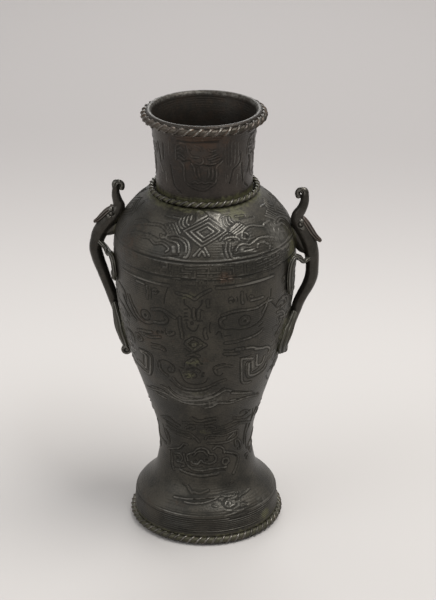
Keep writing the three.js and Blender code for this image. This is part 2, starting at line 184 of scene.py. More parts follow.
def outer_outline(parts, low, high, blur):
    """Outside radius of turned CAD nodes at even heights, their facets' corners blurred away.

    parts is a list of (node, lowest height, highest height); what lies between them is bridged."""
    heights = even_heights(low, high)
    step = heights[1] - heights[0]
    known = [(height, outside_at(node, height)) for node, bottom, top in parts
             for height in heights if bottom <= height <= top]
    radii = np.interp(heights, *zip(*known))
    pad = int(3 * blur / step) + 1
    start = 2 * radii[0] - radii[pad:0:-1]
    end = 2 * radii[-1] - radii[-2:-pad - 2:-1]
    weights = np.exp(-0.5 * (np.arange(-pad, pad + 1) * step / blur) ** 2)
    smooth = np.convolve(np.concatenate([start, radii, end]), weights / weights.sum(), "valid")
    return smooth, heights


def vessel_outline(low, high):
    """The outline of foot and body as one smooth curve, cut to the heights asked for."""
    foot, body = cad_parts["foot"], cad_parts["body"]
    parts = [(foot, SKIRT_EDGE, SEAM - 0.05 * MM), (body, SEAM + 0.35 * MM, COLLAR_SEAT)]
    radii, heights = outer_outline(parts, SKIRT_EDGE, COLLAR_SEAT, 2.0 * MM)
    radii = radii + FOOT_DOME["fuller"] * np.exp(-0.5 * ((heights - FOOT_DOME["height"]) / FOOT_DOME["reach"]) ** 2)
    even = even_heights(low, high)
    return np.interp(even, heights, radii), even


def travelled(radii, heights):
    """How far along the outline each of its points lies."""
    return np.concatenate([[0], np.cumsum(np.hypot(np.diff(radii), np.diff(heights)))])


def even_steps(radii, heights, step):
    """The outline's points again, an even distance apart along it."""
    along = travelled(radii, heights)
    count = max(2, int(round(along[-1] / step)) + 1)
    at = np.linspace(0, along[-1], count)
    return np.interp(at, along, radii), np.interp(at, along, heights)


def facing(radii, heights):
    """The way the outline faces at each of its points: how much outward and how much up."""
    slope_r, slope_z = np.gradient(radii), np.gradient(heights)
    length = np.hypot(slope_r, slope_z)
    return slope_z / length, -slope_r / length


def curve(before, start, end, after, t):
    """The place at a share t of the way from start to end, on a smooth curve through all four places."""
    return 0.5 * (2 * start + (end - before) * t + (2 * before - 5 * start + 4 * end - after) * t * t
                  + (3 * start - before - 3 * end + after) * t ** 3)


def far_from_line(x, y, dx, dy):
    """How far places are from the straight line that starts at 0, 0 and goes dx and dy."""
    share = np.clip((x * dx + y * dy) / max(dx * dx + dy * dy, 1e-9), 0, 1)
    return np.hypot(x - share * dx, y - share * dy)


class ChasedSurface:
    """A turned surface laid out flat as a grid, with raised and sunk work drawn on it.

    Places on it are an angle in degrees, 0 at the front and growing to the right, and a height in millimetres."""

    def __init__(self, radii, heights, columns):
        self.r = radii / MM
        self.z = heights / MM
        self.s = travelled(self.r, self.z)
        self.columns = columns
        self.turn = 360.0 / columns
        self.height = np.zeros((len(self.r), columns), np.float32)

    def _path(self, places, curved, closed):
        """Places as angle and distance along the outline, with curved lines filled in between them."""
        points = np.array([(a, np.interp(z, self.z, self.s)) for a, z in places], float)
        if closed:
            points = np.vstack([points, points[:1]])
        if not curved or len(points) < 3:
            return points
        if closed:
            ends = np.vstack([points[-2], points, points[1]])
        else:
            ends = np.vstack([2 * points[0] - points[1], points, 2 * points[-1] - points[-2]])
        t = np.linspace(0, 1, CURVE_STEPS + 1)[:-1, None]
        pieces = [curve(*four, t) for four in zip(ends, ends[1:], ends[2:], ends[3:])]
        return np.vstack(pieces + [points[-1:]])

    def _window(self, a_low, a_high, s_low, s_high):
        """The rows and columns of the grid between two angles and two distances along the outline."""
        rows = np.arange(np.searchsorted(self.s, s_low), np.searchsorted(self.s, s_high, "right"))
        return rows, np.arange(math.ceil(a_low / self.turn), math.floor(a_high / self.turn) + 1)

    def line(self, places, width, height, curved=True, closed=False):
        """A raised line with a rounded top, or a sunk one where height is negative."""
        path = self._path(places, curved, closed)
        half = width / 2
        for (a0, s0), (a1, s1) in zip(path, path[1:]):
            radius = np.interp((s0 + s1) / 2, self.s, self.r)
            scale = math.radians(radius)
            margin = half / scale
            rows, columns = self._window(min(a0, a1) - margin, max(a0, a1) + margin,
                                         min(s0, s1) - half, max(s0, s1) + half)
            if not len(rows) or not len(columns):
                continue
            x = (columns * self.turn - a0)[None, :] * scale
            y = (self.s[rows] - s0)[:, None]
            off = far_from_line(x, y, (a1 - a0) * scale, s1 - s0) / half
            rise = np.clip(1 - off ** 2, 0, 1) ** 0.8 * abs(height)
            cells = np.ix_(rows, columns % self.columns)
            here = self.height[cells]
            new = np.maximum(here, rise) if height > 0 else np.minimum(here, -rise)
            self.height[cells] = np.where(off < 1, new, here)

    def pad(self, places, height, bevel):
        """A raised field inside a closed outline, rising over the width of its bevel."""
        path = self._path(places, True, True)
        radius = np.interp(path[:, 1].mean(), self.s, self.r)
        scale = math.radians(radius)
        rows, columns = self._window(path[:, 0].min(), path[:, 0].max(), path[:, 1].min(), path[:, 1].max())
        if not len(rows) or not len(columns):
            return
        x = np.broadcast_to((columns * self.turn)[None, :] * scale, (len(rows), len(columns)))
        y = np.broadcast_to(self.s[rows][:, None], x.shape)
        inside = np.zeros(x.shape, bool)
        near = np.full(x.shape, 1e9)
        for (a0, s0), (a1, s1) in zip(path, path[1:]):
            x0, x1 = a0 * scale, a1 * scale
            dx, dy = x1 - x0, s1 - s0
            near = np.minimum(near, far_from_line(x - x0, y - s0, dx, dy))
            if abs(dy) > 1e-9:
                crossing = ((s0 > y) != (s1 > y)) & (x < x0 + (y - s0) / dy * dx)
                inside ^= crossing
        rise = np.where(inside, np.clip(near / bevel, 0, 1), 0) * height
        cells = np.ix_(rows, columns % self.columns)
        self.height[cells] = np.maximum(self.height[cells], rise)

    def blurred(self, reach):
        """The heights averaged over about that many millimetres."""
        size = max(1, int(reach / (self.s[1] - self.s[0])))
        weights = np.exp(-0.5 * (np.arange(-2 * size, 2 * size + 1) / size) ** 2)
        weights /= weights.sum()
        field = self.height
        rows = np.pad(field, ((2 * size, 2 * size), (0, 0)), "edge")
        field = sum(w * rows[i:i + field.shape[0]] for i, w in enumerate(weights))
        wide = np.pad(field, ((0, 0), (2 * size, 2 * size)), "wrap")
        return sum(w * wide[:, i:i + field.shape[1]] for i, w in enumerate(weights))


def blank_surface(radii, heights, sizes, finer=1.0):
    """A surface to chase, its points about one grid spacing apart both along the outline and round it."""
    grid = spacing(sizes.grid) * finer
    r, z = even_steps(radii, heights, grid)
    return ChasedSurface(r, z, int(2 * math.pi * r.max() / grid) // 4 * 4)


# How green and brown the inside of a shell is, and how dark with dirt and painted shade
INNER_TONES = {"green": 0.26, "brown": 0.55, "hollow_and_shade": 0.75}


def shell(name, surface, extra, tones):
    """A closed cast shell: the chased outside, then the plain rows that carry on inside and back.

    extra is a list of (radius, height) in metres, some with a share of wear and painted highlight, that follows on
    from the outside's top to its bottom."""
    columns = surface.columns
    angles = np.radians(np.arange(columns) * surface.turn)
    out, up = facing(surface.r, surface.z)
    radius = (surface.r[:, None] + surface.height * out[:, None]) * MM
    height = (surface.z[:, None] + surface.height * up[:, None]) * MM
    outside = np.stack([radius * np.sin(angles), -radius * np.cos(angles), height], -1)
    rows = [outside.reshape(-1, 3)]
    for r, z, *_ in extra:
        rows.append(np.stack([r * np.sin(angles), -r * np.cos(angles), np.full(columns, z)], -1))
    points = np.vstack(rows)
    total = len(points) // columns
    faces = grid_faces(total, columns)
    j = np.arange(columns)
    k = (j + 1) % columns
    closing = np.stack([(total - 1) * columns + j, (total - 1) * columns + k, k, j], -1)
    piece = new_piece(name, points, np.vstack([faces, closing]))
    wear_and_highlight = [place[2] if len(place) > 2 else 0.0 for place in extra]
    for tone, values in tones.items():
        inner = wear_and_highlight if tone == "ridge" else [INNER_TONES[tone]] * len(extra)
        carry(piece, tone, np.concatenate([values.ravel(), np.repeat(inner, columns)]))
    lay_flat(piece, total, columns)
    piece.data.set_sharp_from_angle(angle=math.radians(65))
    return piece


def lay_flat(piece, rows, columns):
    """A plain UV layout: one strip for the rings of points, with the seam at the back."""
    layer = piece.data.uv_layers.new(name="OFBake")
    corners = np.empty(len(piece.data.loops), np.int32)
    piece.data.loops.foreach_get("vertex_index", corners)
    quads = corners.reshape(-1, 4)
    row = quads // columns
    column = (quads % columns).astype(float)
    half = columns // 2
    column = (column + half) % columns
    spread = column.max(1) - column.min(1) > half
    column[spread] = np.where(column[spread] < half, column[spread] + columns, column[spread])
    v = row.astype(float)
    last = (row.max(1) - row.min(1)) > rows // 2
    v[last] = np.where(v[last] == 0, rows, v[last])
    uv = np.stack([column / columns, v / rows], -1) * 0.99 + 0.005
    layer.data.foreach_set("uv", uv.astype(np.float32).ravel())


# The rings that round off the end of a limb: their size as a share, and how far past the end as a share
LIMB_END = [(0.95, 0.31), (0.8, 0.6), (0.55, 0.84), (0.28, 0.96)]


def limb_rings(stations, sides, steps, across=None, ridges=0, ridge_depth=0.0):
    """Rings of points along a curve through stations of (place, half thickness, half width), in millimetres."""
    places = np.array([s[0] for s in stations], float)
    sizes = np.array([s[1:] for s in stations], float)

    def along(values, t):
        i = min(int(t), len(values) - 2)
        start, end = values[i], values[i + 1]
        before = values[i - 1] if i else 2 * start - end
        after = values[i + 2] if i + 2 < len(values) else 2 * end - start
        return curve(before, start, end, after, t - i)

    count = (len(stations) - 1) * steps
    ts = np.linspace(0, len(stations) - 1, count + 1)
    centres = np.array([along(places, t) for t in ts])
    spans = np.array([along(sizes, t) for t in ts])
    ways = np.gradient(centres, axis=0)
    ways /= np.linalg.norm(ways, axis=1)[:, None]
    rings = []

    def ring(centre, way, span, share):
        side = np.array(across(centre) if across else (0.0, 1.0, 0.0))
        up = np.cross(side, way)
        up /= np.linalg.norm(up)
        wide = np.cross(way, up)
        turn = np.arange(sides) / sides * 2 * math.pi
        swell = 1 + ridge_depth * (np.abs(np.cos(ridges * turn / 2)) - 1) if ridges else 1.0
        return centre + share * (np.outer(np.cos(turn) * span[0] * swell, up)
                                 + np.outer(np.sin(turn) * span[1] * swell, wide))

    for share, push in reversed(LIMB_END):
        rings.append(ring(centres[0] - ways[0] * push * spans[0][0], ways[0], spans[0], share))
    for centre, way, span in zip(centres, ways, spans):
        rings.append(ring(centre, way, span, 1.0))
    for share, push in LIMB_END:
        rings.append(ring(centres[-1] + ways[-1] * push * spans[-1][0], ways[-1], spans[-1], share))
    tips = (centres[0] - ways[0] * spans[0][0], centres[-1] + ways[-1] * spans[-1][0])
    return rings, tips


def limb_mesh(stations, sides=20, steps=6, **shape):
    """Points and faces of a closed limb, rounded at both ends."""
    rings, tips = limb_rings(stations, sides, steps, **shape)
    points = np.vstack(rings + [tips[0][None], tips[1][None]])
    quads = grid_faces(len(rings), sides).tolist()
    first, last = len(points) - 2, len(points) - 1
    base = (len(rings) - 1) * sides
    for j in range(sides):
        k = (j + 1) % sides
        quads.append((first, k, j))
        quads.append((last, base + j, base + k))
    return points, quads


def merged(meshes):
    """Several (points, faces) as one, each left as it is."""
    points, faces = [], []
    start = 0
    for some, quads in meshes:
        points.append(some)
        faces += [tuple(int(i) + start for i in quad) for quad in quads]
        start += len(some)
    return np.vstack(points), faces


def outward(piece):
    """Turns every face to look out."""
    work = bmesh.new()
    work.from_mesh(piece.data)
    bmesh.ops.recalc_face_normals(work, faces=work.faces)
    work.to_mesh(piece.data)
    work.free()


def fused(name, meshes, grid, smoothing, swell=0.0):
    """Overlapping closed meshes made into one skin, the creases between them rounded.

    swell is how far the skin is pushed out in millimetres, to make up for the rounding."""
    points, faces = merged(meshes)
    piece = new_piece(name, points * MM, faces)
    outward(piece)
    remesh = piece.modifiers.new("skin", "REMESH")
    remesh.mode = "VOXEL"
    remesh.voxel_size = grid
    remesh.use_smooth_shade = True
    ease = piece.modifiers.new("ease", "SMOOTH")
    ease.factor = 0.5
    ease.iterations = smoothing
    keep_modified(piece)
    if swell:
        points, normals = skin_points(piece)
        move_points(piece, points + normals * swell)
    return piece


def skin_points(piece):
    """The points of a skin in millimetres and the way each of them faces."""
    mesh = piece.data
    points = np.empty(len(mesh.vertices) * 3, np.float32)
    normals = np.empty(len(mesh.vertices) * 3, np.float32)
    mesh.vertices.foreach_get("co", points)
    mesh.vertex_normals.foreach_get("vector", normals)
    return points.reshape(-1, 3).astype(float) / MM, normals.reshape(-1, 3)


def move_points(piece, points):
    """Puts the points of a piece at new places in millimetres."""
    piece.data.vertices.foreach_set("co", (points * MM).astype(np.float32).ravel())
    piece.data.update()


def keep_modified(piece):
    """Makes what the modifiers show the piece's own mesh, and takes them off."""
    graph = bpy.context.evaluated_depsgraph_get()
    done = bpy.data.meshes.new_from_object(piece.evaluated_get(graph))
    piece.modifiers.clear()
    old = piece.data
    piece.data = done
    done.name = old.name + "_skin"
    bpy.data.meshes.remove(old)


# Heights in millimetres between which the handles stand on the body
HANDLE_HEIGHTS = np.arange(95.0, 201.0)


def skin_tones(piece, passes, scale):
    """Marks what stands proud of a skin, what lies low on it for dirt and painted shade, and where it meets the vase.
    """
    mesh = piece.data
    points, normals = skin_points(piece)
    edges = np.empty(len(mesh.edges) * 2, np.int32)
    mesh.edges.foreach_get("vertices", edges)
    start, end = edges.reshape(-1, 2).T
    count = np.bincount(edges, minlength=len(points))[:, None]
    smooth = points.copy()
    for _ in range(passes):
        sums = [np.bincount(start, smooth[end, i], len(points)) + np.bincount(end, smooth[start, i], len(points))
                for i in range(3)]
        smooth = 0.5 * (smooth + np.stack(sums, -1) / count)
    proud = ((points - smooth) * normals).sum(1)
    proud -= np.median(proud)
    radii = [outside_at(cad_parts["body"], height * MM) / MM for height in HANDLE_HEIGHTS]
    off = np.hypot(points[:, 0], points[:, 1]) - np.interp(points[:, 2], HANDLE_HEIGHTS, radii)
    carry(piece, "ridge", np.clip(proud / scale, 0, 1))
    carry(piece, "hollow_and_shade", np.clip(-proud / scale, 0, 1))
    carry(piece, "green", np.clip(0.8 - off / 2.4, 0, 1))
    carry(piece, "brown", np.full(len(points), 0.4))


def chase_lines(piece, lines):
    """Presses lines into a skin, or raises them: each line is (places in millimetres, width, height)."""
    points, normals = skin_points(piece)
    count = len(points)
    rise = np.zeros(count)
    for places, width, height in lines:
        path = np.array(places, float)
        near = np.full(count, 1e9)
        for a, b in zip(path, path[1:]):
            way = b - a
            share = np.clip(((points - a) @ way) / max(way @ way, 1e-9), 0, 1)
            near = np.minimum(near, np.linalg.norm(points - a - share[:, None] * way, axis=1))
        bump = np.clip(1 - (near / (width / 2)) ** 2, 0, 1) * height
        rise = np.where(np.abs(bump) > np.abs(rise), bump, rise)
    move_points(piece, points + normals * rise[:, None])


# Node trees

class Wiring:
    """A node tree with short ways to add nodes and join them."""

    def __init__(self, tree):
        self.tree = tree

    def add(self, kind, values=None, **settings):
        node = self.tree.nodes.new(kind)
        for key, value in settings.items():
            setattr(node, key, value)
        for key, value in (values or {}).items():
            self.put(node.inputs[key], value)
        return node

    def put(self, socket, value):
        if isinstance(value, bpy.types.NodeSocket):
            self.tree.links.new(value, socket)
        else:
            socket.default_value = value

    def math(self, operation, a, b=0.0, clamp=False):
        return self.add("ShaderNodeMath", {0: a, 1: b}, operation=operation, use_clamp=clamp).outputs[0]

    def scaled(self, value, times):
        return self.math("MULTIPLY", value, times)

    def around(self, value, times):
        """A value that lies about 0.5 as a change about 0, that many times as large."""
        return self.scaled(self.math("SUBTRACT", value, 0.5), times)

    def blend(self, share, a, b):
        return self.add("ShaderNodeMix", {0: share, 6: a, 7: b}, data_type="RGBA").outputs[2]

    def noise(self, vector, scale, detail, rough):
        return self.add("ShaderNodeTexNoise", {"Vector": vector, "Scale": scale, "Detail": detail,
                                               "Roughness": rough}).outputs["Fac"]

    def ramp(self, value, low, high):
        return self.add("ShaderNodeMapRange", {"Value": value, "From Min": low, "From Max": high},
                        interpolation_type="SMOOTHSTEP").outputs["Result"]


def node_group(name, inputs, outputs, fill):
    """A shader node group with named sockets, built once."""
    found = bpy.data.node_groups.get(name)
    if found:
        return found
    tree = bpy.data.node_groups.new(name, "ShaderNodeTree")
    for label, kind, default in inputs:
        socket = tree.interface.new_socket(label, in_out="INPUT", socket_type="NodeSocket" + kind)
        if default is not None:
            socket.default_value = default
    for label, kind in outputs:
        tree.interface.new_socket(label, in_out="OUTPUT", socket_type="NodeSocket" + kind)
    wires = Wiring(tree)
    start = wires.add("NodeGroupInput")
    end = wires.add("NodeGroupOutput")
    for label, socket in fill(wires, start.outputs).items():
        wires.put(end.inputs[label], socket)
    return tree


def mottle_group():
    """Cloudy change between a dark and a lighter patina, with fine specks."""
    def fill(w, i):
        cloud = w.noise(i["Vector"], 55.0, 8.0, 0.66)
        speck = w.noise(i["Vector"], 1050.0, 3.0, 0.6)
        share = w.math("ADD", w.ramp(cloud, 0.36, 0.66), w.around(speck, 1.8), True)
        return {"Color": w.blend(share, i["Dark"], i["Light"]), "Cloud": cloud}
    return node_group("Bronze Mottle", [("Vector", "Vector", None), ("Dark", "Color", (0.04, 0.036, 0.03, 1)),
                                        ("Light", "Color", (0.07, 0.065, 0.055, 1))],
                      [("Color", "Color"), ("Cloud", "Float")], fill)


def bloom_group():
    """A second colour that spreads where it is told to, broken up by noise."""
    def fill(w, i):
        ragged = w.noise(i["Vector"], i["Scale"], 6.0, 0.65)
        mask = w.ramp(w.math("ADD", i["Where"], w.around(ragged, i["Ragged"])), 0.35, 0.85)
        mask = w.math("MULTIPLY", mask, i["Amount"], True)
        return {"Color": w.blend(mask, i["Color"], i["Bloom"]), "Mask": mask}
    return node_group("Patina Bloom", [("Vector", "Vector", None), ("Color", "Color", (0.05, 0.05, 0.05, 1)),
                                       ("Bloom", "Color", (0.1, 0.1, 0.05, 1)), ("Where", "Float", 0.0),
                                       ("Amount", "Float", 0.8), ("Scale", "Float", 300.0), ("Ragged", "Float", 1.2)],
                      [("Color", "Color"), ("Mask", "Float")], fill)


def cast_skin_group():
    """The fine grain and the small pits of a cast surface, as a height."""
    def fill(w, i):
        grain = w.noise(i["Vector"], 900.0, 4.0, 0.6)
        swell = w.noise(i["Vector"], 120.0, 3.0, 0.5)
        pits = w.add("ShaderNodeTexVoronoi", {"Vector": i["Vector"], "Scale": 420.0}, feature="F1").outputs["Distance"]
        pit = w.ramp(pits, 0.0, 0.22)
        height = w.math("ADD", w.scaled(grain, i["Grain"]), w.scaled(swell, i["Swell"]))
        return {"Height": w.math("ADD", height, w.scaled(pit, i["Pits"]))}
    return node_group("Cast Skin", [("Vector", "Vector", None), ("Grain", "Float", 1.0), ("Swell", "Float", 0.8),
                                    ("Pits", "Float", 0.25)], [("Height", "Float")], fill)


def turned_lines_group():
    """Fine lines left by the turning of the wax, broken up where they are worn away."""
    def fill(w, i):
        height = w.add("ShaderNodeSeparateXYZ", {0: i["Vector"]}).outputs["Z"]
        wobble = w.scaled(w.noise(i["Vector"], 60.0, 2.0, 0.5), i["Wobble"])
        wave = w.math("SINE", w.math("ADD", w.math("DIVIDE", height, i["Pitch"]), wobble))
        left = w.ramp(w.noise(i["Vector"], 45.0, 3.0, 0.6), 0.38, 0.62)
        return {"Height": w.scaled(wave, left)}
    return node_group("Turned Lines", [("Vector", "Vector", None), ("Pitch", "Float", 0.0002),
                                       ("Wobble", "Float", 6.0)], [("Height", "Float")], fill)


# Near black, laid in the hollows as dirt and painted shade, and over the soot spots as painted shade.
DIRT_AND_SHADE = (0.012, 0.011, 0.008)


def bronze(name, finish, dark=None, light=None, roughness=0.42, metallic=0.6, green=0.8, brown=0.7,
           rub_and_highlight=0.8, carried=True, bump=0.6, turned=0.0, brown_everywhere=0.0):
    """Old bronze. Carried tones come with the mesh; otherwise the mesh's own ridges and hollows are read."""
    name += "_patina"
    found = bpy.data.materials.get(name)
    if found:
        return found
    material = bpy.data.materials.new(name)
    material.use_nodes = True
    w = Wiring(material.node_tree)
    shader = material.node_tree.nodes["Principled BSDF"]
    where = w.add("ShaderNodeTexCoord").outputs["Object"]

    def colour(value):
        return (*value, 1.0)

    def tone(label):
        return w.add("ShaderNodeAttribute", attribute_name=label).outputs["Fac"]

    if carried:
        ridge, hollow_and_shade, green_at, brown_at = (tone(label) for label in ("ridge", "hollow_and_shade", "green", "brown"))
    else:
        point = w.add("ShaderNodeNewGeometry").outputs["Pointiness"]
        ridge = w.ramp(point, 0.515, 0.60)
        hollow_and_shade = w.ramp(point, 0.49, 0.42)
        green_at, brown_at = 0.0, brown_everywhere
    mottle = w.add("ShaderNodeGroup", {"Vector": where, "Dark": colour(dark or finish.dark),
                                       "Light": colour(light or finish.light)}, node_tree=mottle_group())
    last = mottle.outputs["Color"]
    masks = {}
    # Colour, where it lies, how much of it, how fine and how ragged its edges are
    # The dirt layer also lays painted shade in the hollows and over the soot spots, and the rub layer also lays painted
    # highlights over the sheen spots.
    layers = {"brown": (finish.brown, brown_at, brown, 240.0, 1.1),
              "green": (finish.green, green_at, green, 420.0, 1.3),
              "dirt_and_shade": (DIRT_AND_SHADE, hollow_and_shade, 0.75, 600.0, 0.5),
              "rub_and_highlight": (finish.rubbed, ridge, rub_and_highlight, 500.0, 1.0)}
    for label, (bloom, place, amount, scale, ragged) in layers.items():
        layer = w.add("ShaderNodeGroup", {"Vector": where, "Color": last, "Bloom": colour(bloom), "Where": place,
                                          "Amount": amount, "Scale": scale, "Ragged": ragged}, node_tree=bloom_group())
        last = layer.outputs["Color"]
        masks[label] = layer.outputs["Mask"]
    w.put(shader.inputs["Base Color"], last)
    dull = w.math("ADD", w.scaled(masks["green"], 0.25), w.scaled(masks["dirt_and_shade"], 0.2))
    rough = w.math("ADD", w.around(mottle.outputs["Cloud"], 0.22), roughness)
    rough = w.math("SUBTRACT", w.math("ADD", rough, dull), w.scaled(masks["rub_and_highlight"], 0.14), True)
    w.put(shader.inputs["Roughness"], rough)
    w.put(shader.inputs["Metallic"], w.math("SUBTRACT", metallic, w.scaled(masks["green"], 0.5), True))
    skin = w.add("ShaderNodeGroup", {"Vector": where}, node_tree=cast_skin_group())
    height = skin.outputs["Height"]
    if turned:
        lathe = w.add("ShaderNodeGroup", {"Vector": where}, node_tree=turned_lines_group())
        height = w.math("ADD", height, w.scaled(lathe.outputs["Height"], turned))
    lift = w.add("ShaderNodeBump", {"Height": height, "Strength": bump, "Distance": 0.16 * MM})
    w.put(shader.inputs["Normal"], lift.outputs["Normal"])
    return material


# Operators

# Name, place in metres, width in metres, power in watts, colour
STUDIO_LIGHTS = [
    ("key_light", (0.6, -0.1, 1.6), 1.0, 19.0, (1.0, 0.98, 0.95)),
    ("fill_light", (-1.2, -0.9, 1.2), 1.5, 9.0, (0.95, 0.97, 1.0)),
    ("rim_light", (-0.1, 1.25, 0.95), 0.9, 8.0, (1.0, 1.0, 1.0)),
    ("front_light", (0.52, -0.58, 1.4), 0.35, 3.4, (0.94, 0.97, 1.0)),
]
LIT_PLACE = Vector((0, 0, 0.12))
FLOOR_REACH = 4.0
# The camera that was fitted to the photo: its place, and the ways that are right and up in the picture
CAMERA_PLACE = (0.12671245, -1.03199006, 0.60368381)
CAMERA_RIGHT = Vector((0.99351245, 0.1136915, -0.00269355))
CAMERA_UP = Vector((-0.04425919, 0.40836723, 0.91174411))


class VASE_OT_stage(bpy.types.Operator):
    """Pale floor with painted light fall-off, soft lights and the camera."""
    bl_idname = "vase.stage"
    bl_label = "Stage"

    def execute(self, context):
        look = context.scene.vase_stage
        corners = [(x * FLOOR_REACH, y * FLOOR_REACH, 0) for x, y in ((-1, -1), (1, -1), (1, 1), (-1, 1))]
        floor = new_piece("studio_floor", corners, [(0, 1, 2, 3)], False)
        material = bpy.data.materials.new("studio_paper")
        material.use_nodes = True
        w = Wiring(material.node_tree)
        # Painted light fall-off: the floor's colour changes from front to back.
        place = w.add("ShaderNodeSeparateXYZ", {0: w.add("ShaderNodeTexCoord").outputs["Object"]}).outputs["Y"]
        shade = w.blend(w.ramp(place, -0.1, 0.25), (*look.floor_near, 1), (*look.floor_middle, 1))
        shade = w.blend(w.ramp(place, 0.13, 0.68), shade, (*look.floor_far, 1))
        shader = material.node_tree.nodes["Principled BSDF"]
        w.put(shader.inputs["Base Color"], shade)
        shader.inputs["Roughness"].default_value = 0.9
        shader.inputs["Specular IOR Level"].default_value = 0.1
        floor.data.materials.append(material)

        world = bpy.data.worlds.new("studio_air")
        context.scene.world = world
        world.use_nodes = True
        backdrop = world.node_tree.nodes["Background"]
        backdrop.inputs["Color"].default_value = (0.60, 0.59, 0.58, 1)
        backdrop.inputs["Strength"].default_value = 0.95

        for name, place, size, power, tint in STUDIO_LIGHTS:
            lamp = bpy.data.lights.new(name, "AREA")
            lamp.shape = "DISK"
            lamp.size = size
            lamp.energy = power
            lamp.color = tint
            holder = bpy.data.objects.new(name, lamp)
            holder.location = place
            holder.rotation_euler = (LIT_PLACE - Vector(place)).to_track_quat("-Z", "Y").to_euler()
            context.collection.objects.link(holder)

        lens = bpy.data.cameras.new("photo_camera")
        lens.lens = look.lens
        lens.sensor_fit = "VERTICAL"
        lens.sensor_height = 36.0
        lens.clip_start = 0.05
        camera = bpy.data.objects.new("photo_camera", lens)
        context.collection.objects.link(camera)
        turn = Matrix((CAMERA_RIGHT, CAMERA_UP, CAMERA_RIGHT.cross(CAMERA_UP))).transposed()
        camera.matrix_world = Matrix.Translation(CAMERA_PLACE) @ turn.to_4x4()
        context.scene.camera = camera
        context.scene.view_settings.view_transform = "Standard"
        return {"FINISHED"}


VESSEL_PATINA = {"turned": 0.22, "bump": 0.95}
NECK_PATINA = {"dark": (0.022, 0.0180, 0.0148), "light": (0.044, 0.0360, 0.0300), "roughness": 0.33, "brown": 0.85,
               "turned": 0.15, "bump": 0.95}
# Rows of the shells that carry no ornament, as radius and height in millimetres
WORN_LIP = [(30.9, 247.0), (31.7, 247.5), (32.1, 248.1), (32.1, 248.7), (31.8, 249.3), (31.4, 249.7), (30.8, 249.95),
            (30.2, 249.95), (29.6, 249.7), (29.1, 249.2), (28.8, 248.6), (28.6, 248.1)]
# The lip's rows inside this radius get more of the rubbed colour: a painted highlight along the rim's inner edge.
LIP_TOP_RADIUS = 30.4  # the lip's rows outside this one are rubbed less
INSIDE_OF_NECK = [(28.45, 247.3), (28.2, 246.2), (27.7, 244.6), (26.9, 241.8), (26.1, 238.0), (25.3, 232.0),
                  (24.8, 226.0), (24.5, 220.0), (24.3, 214.0), (24.3, 206.0), (24.3, 199.6)]
INSIDE_OF_FOOT = [(29.4, 31.5), (26.5, 31.5), (26.5, 35.5), (24.5, 35.5), (24.5, 28.9), (30.0, 26.0), (34.5, 21.5),
                  (37.0, 18.0), (38.6, 14.5), (38.9, 11.5), (35.95, 10.1), (35.95, 8.7), (37.15, 8.7), (37.15, 0.5),
                  (37.4, 0.0), (39.4, 0.0), (39.75, 0.4), (39.75, 4.3), (41.7, 4.3), (42.1, 4.6)]


class VASE_OT_body(bpy.types.Operator):
    """Column, belly and shoulder with their chased ornament."""
    bl_idname = "vase.body"
    bl_label = "Body"

    def execute(self, context):
        sizes = context.scene.vase_shells
        radii, heights = vessel_outline(SEAM, COLLAR_SEAT)
        surface = blank_surface(radii - sizes.line_height, heights, sizes)
        chase_body(surface, sizes)
        inner_r, inner_z = even_steps(radii, heights, 5 * MM)
        out, up = facing(inner_r, inner_z)
        inside = [(max(r, BORE), z) for r, z in zip(inner_r - out * WALL, inner_z - up * WALL)
                  if 38 * MM < z < 196 * MM][::-1]
        edge_r, edge_z, bottom = surface.r * MM, surface.z * MM, SEAM - 0.02 * MM
        extra = [(edge_r[-1], edge_z[-1]), (NECK_SEAT, edge_z[-1]), (NECK_SEAT, 199.2 * MM), (BORE, 199.2 * MM),
                 (BORE, 196.6 * MM), *inside, (24.8 * MM, 36.1 * MM), (SPIGOT_SEAT, 35.8 * MM),
                 (SPIGOT_SEAT, bottom), (edge_r[0], bottom)]
        piece = shell("body_chased", surface, extra, tones(surface, BODY_TONES))
        dress(piece, "body", bronze("vessel_bronze", context.scene.vase_finish, **VESSEL_PATINA))
        return {"FINISHED"}


class VASE_OT_neck(bpy.types.Operator):
    """The neck with its blade ornament and turned-out lip."""
    bl_idname = "vase.neck"
    bl_label = "Neck"

    def execute(self, context):
        sizes = context.scene.vase_shells
        radii, heights = outer_outline([(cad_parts["neck"], 0.0, 1.0)], 199.6 * MM, 246.3 * MM, 1.6 * MM)
        surface = blank_surface(radii - 0.5 * sizes.line_height, heights, sizes, 0.85)
        chase_neck(surface, sizes)
        # Painted highlight: the lip's inner rows get more of the rubbed colour than its outer rows.
        rows = [(r, z, 0.36 if r > LIP_TOP_RADIUS else 0.5) for r, z in WORN_LIP]
        rows += [(r, z, 0.12) for r, z in INSIDE_OF_NECK]
        piece = shell("neck_chased", surface, [(r * MM, z * MM, wear_and_highlight) for r, z, wear_and_highlight in rows],
                      tones(surface, NECK_TONES))
        dress(piece, "neck", bronze("rim_bronze", context.scene.vase_finish, **NECK_PATINA))
        return {"FINISHED"}


class VASE_OT_foot(bpy.types.Operator):
    """The domed foot with its scrolls, rings and turned lines."""
    bl_idname = "vase.foot"
    bl_label = "Foot"

    def execute(self, context):
        sizes = context.scene.vase_shells
        radii, heights = vessel_outline(SKIRT_EDGE, SEAM)
        surface = blank_surface(radii - sizes.line_height, heights, sizes)
        chase_foot(surface, sizes)
        rows = [(r * MM, z * MM) for r, z in INSIDE_OF_FOOT]
        piece = shell("foot_chased", surface, rows, tones(surface, FOOT_TONES))
        dress(piece, "foot", bronze("vessel_bronze", context.scene.vase_finish, **VESSEL_PATINA))
        return {"FINISHED"}


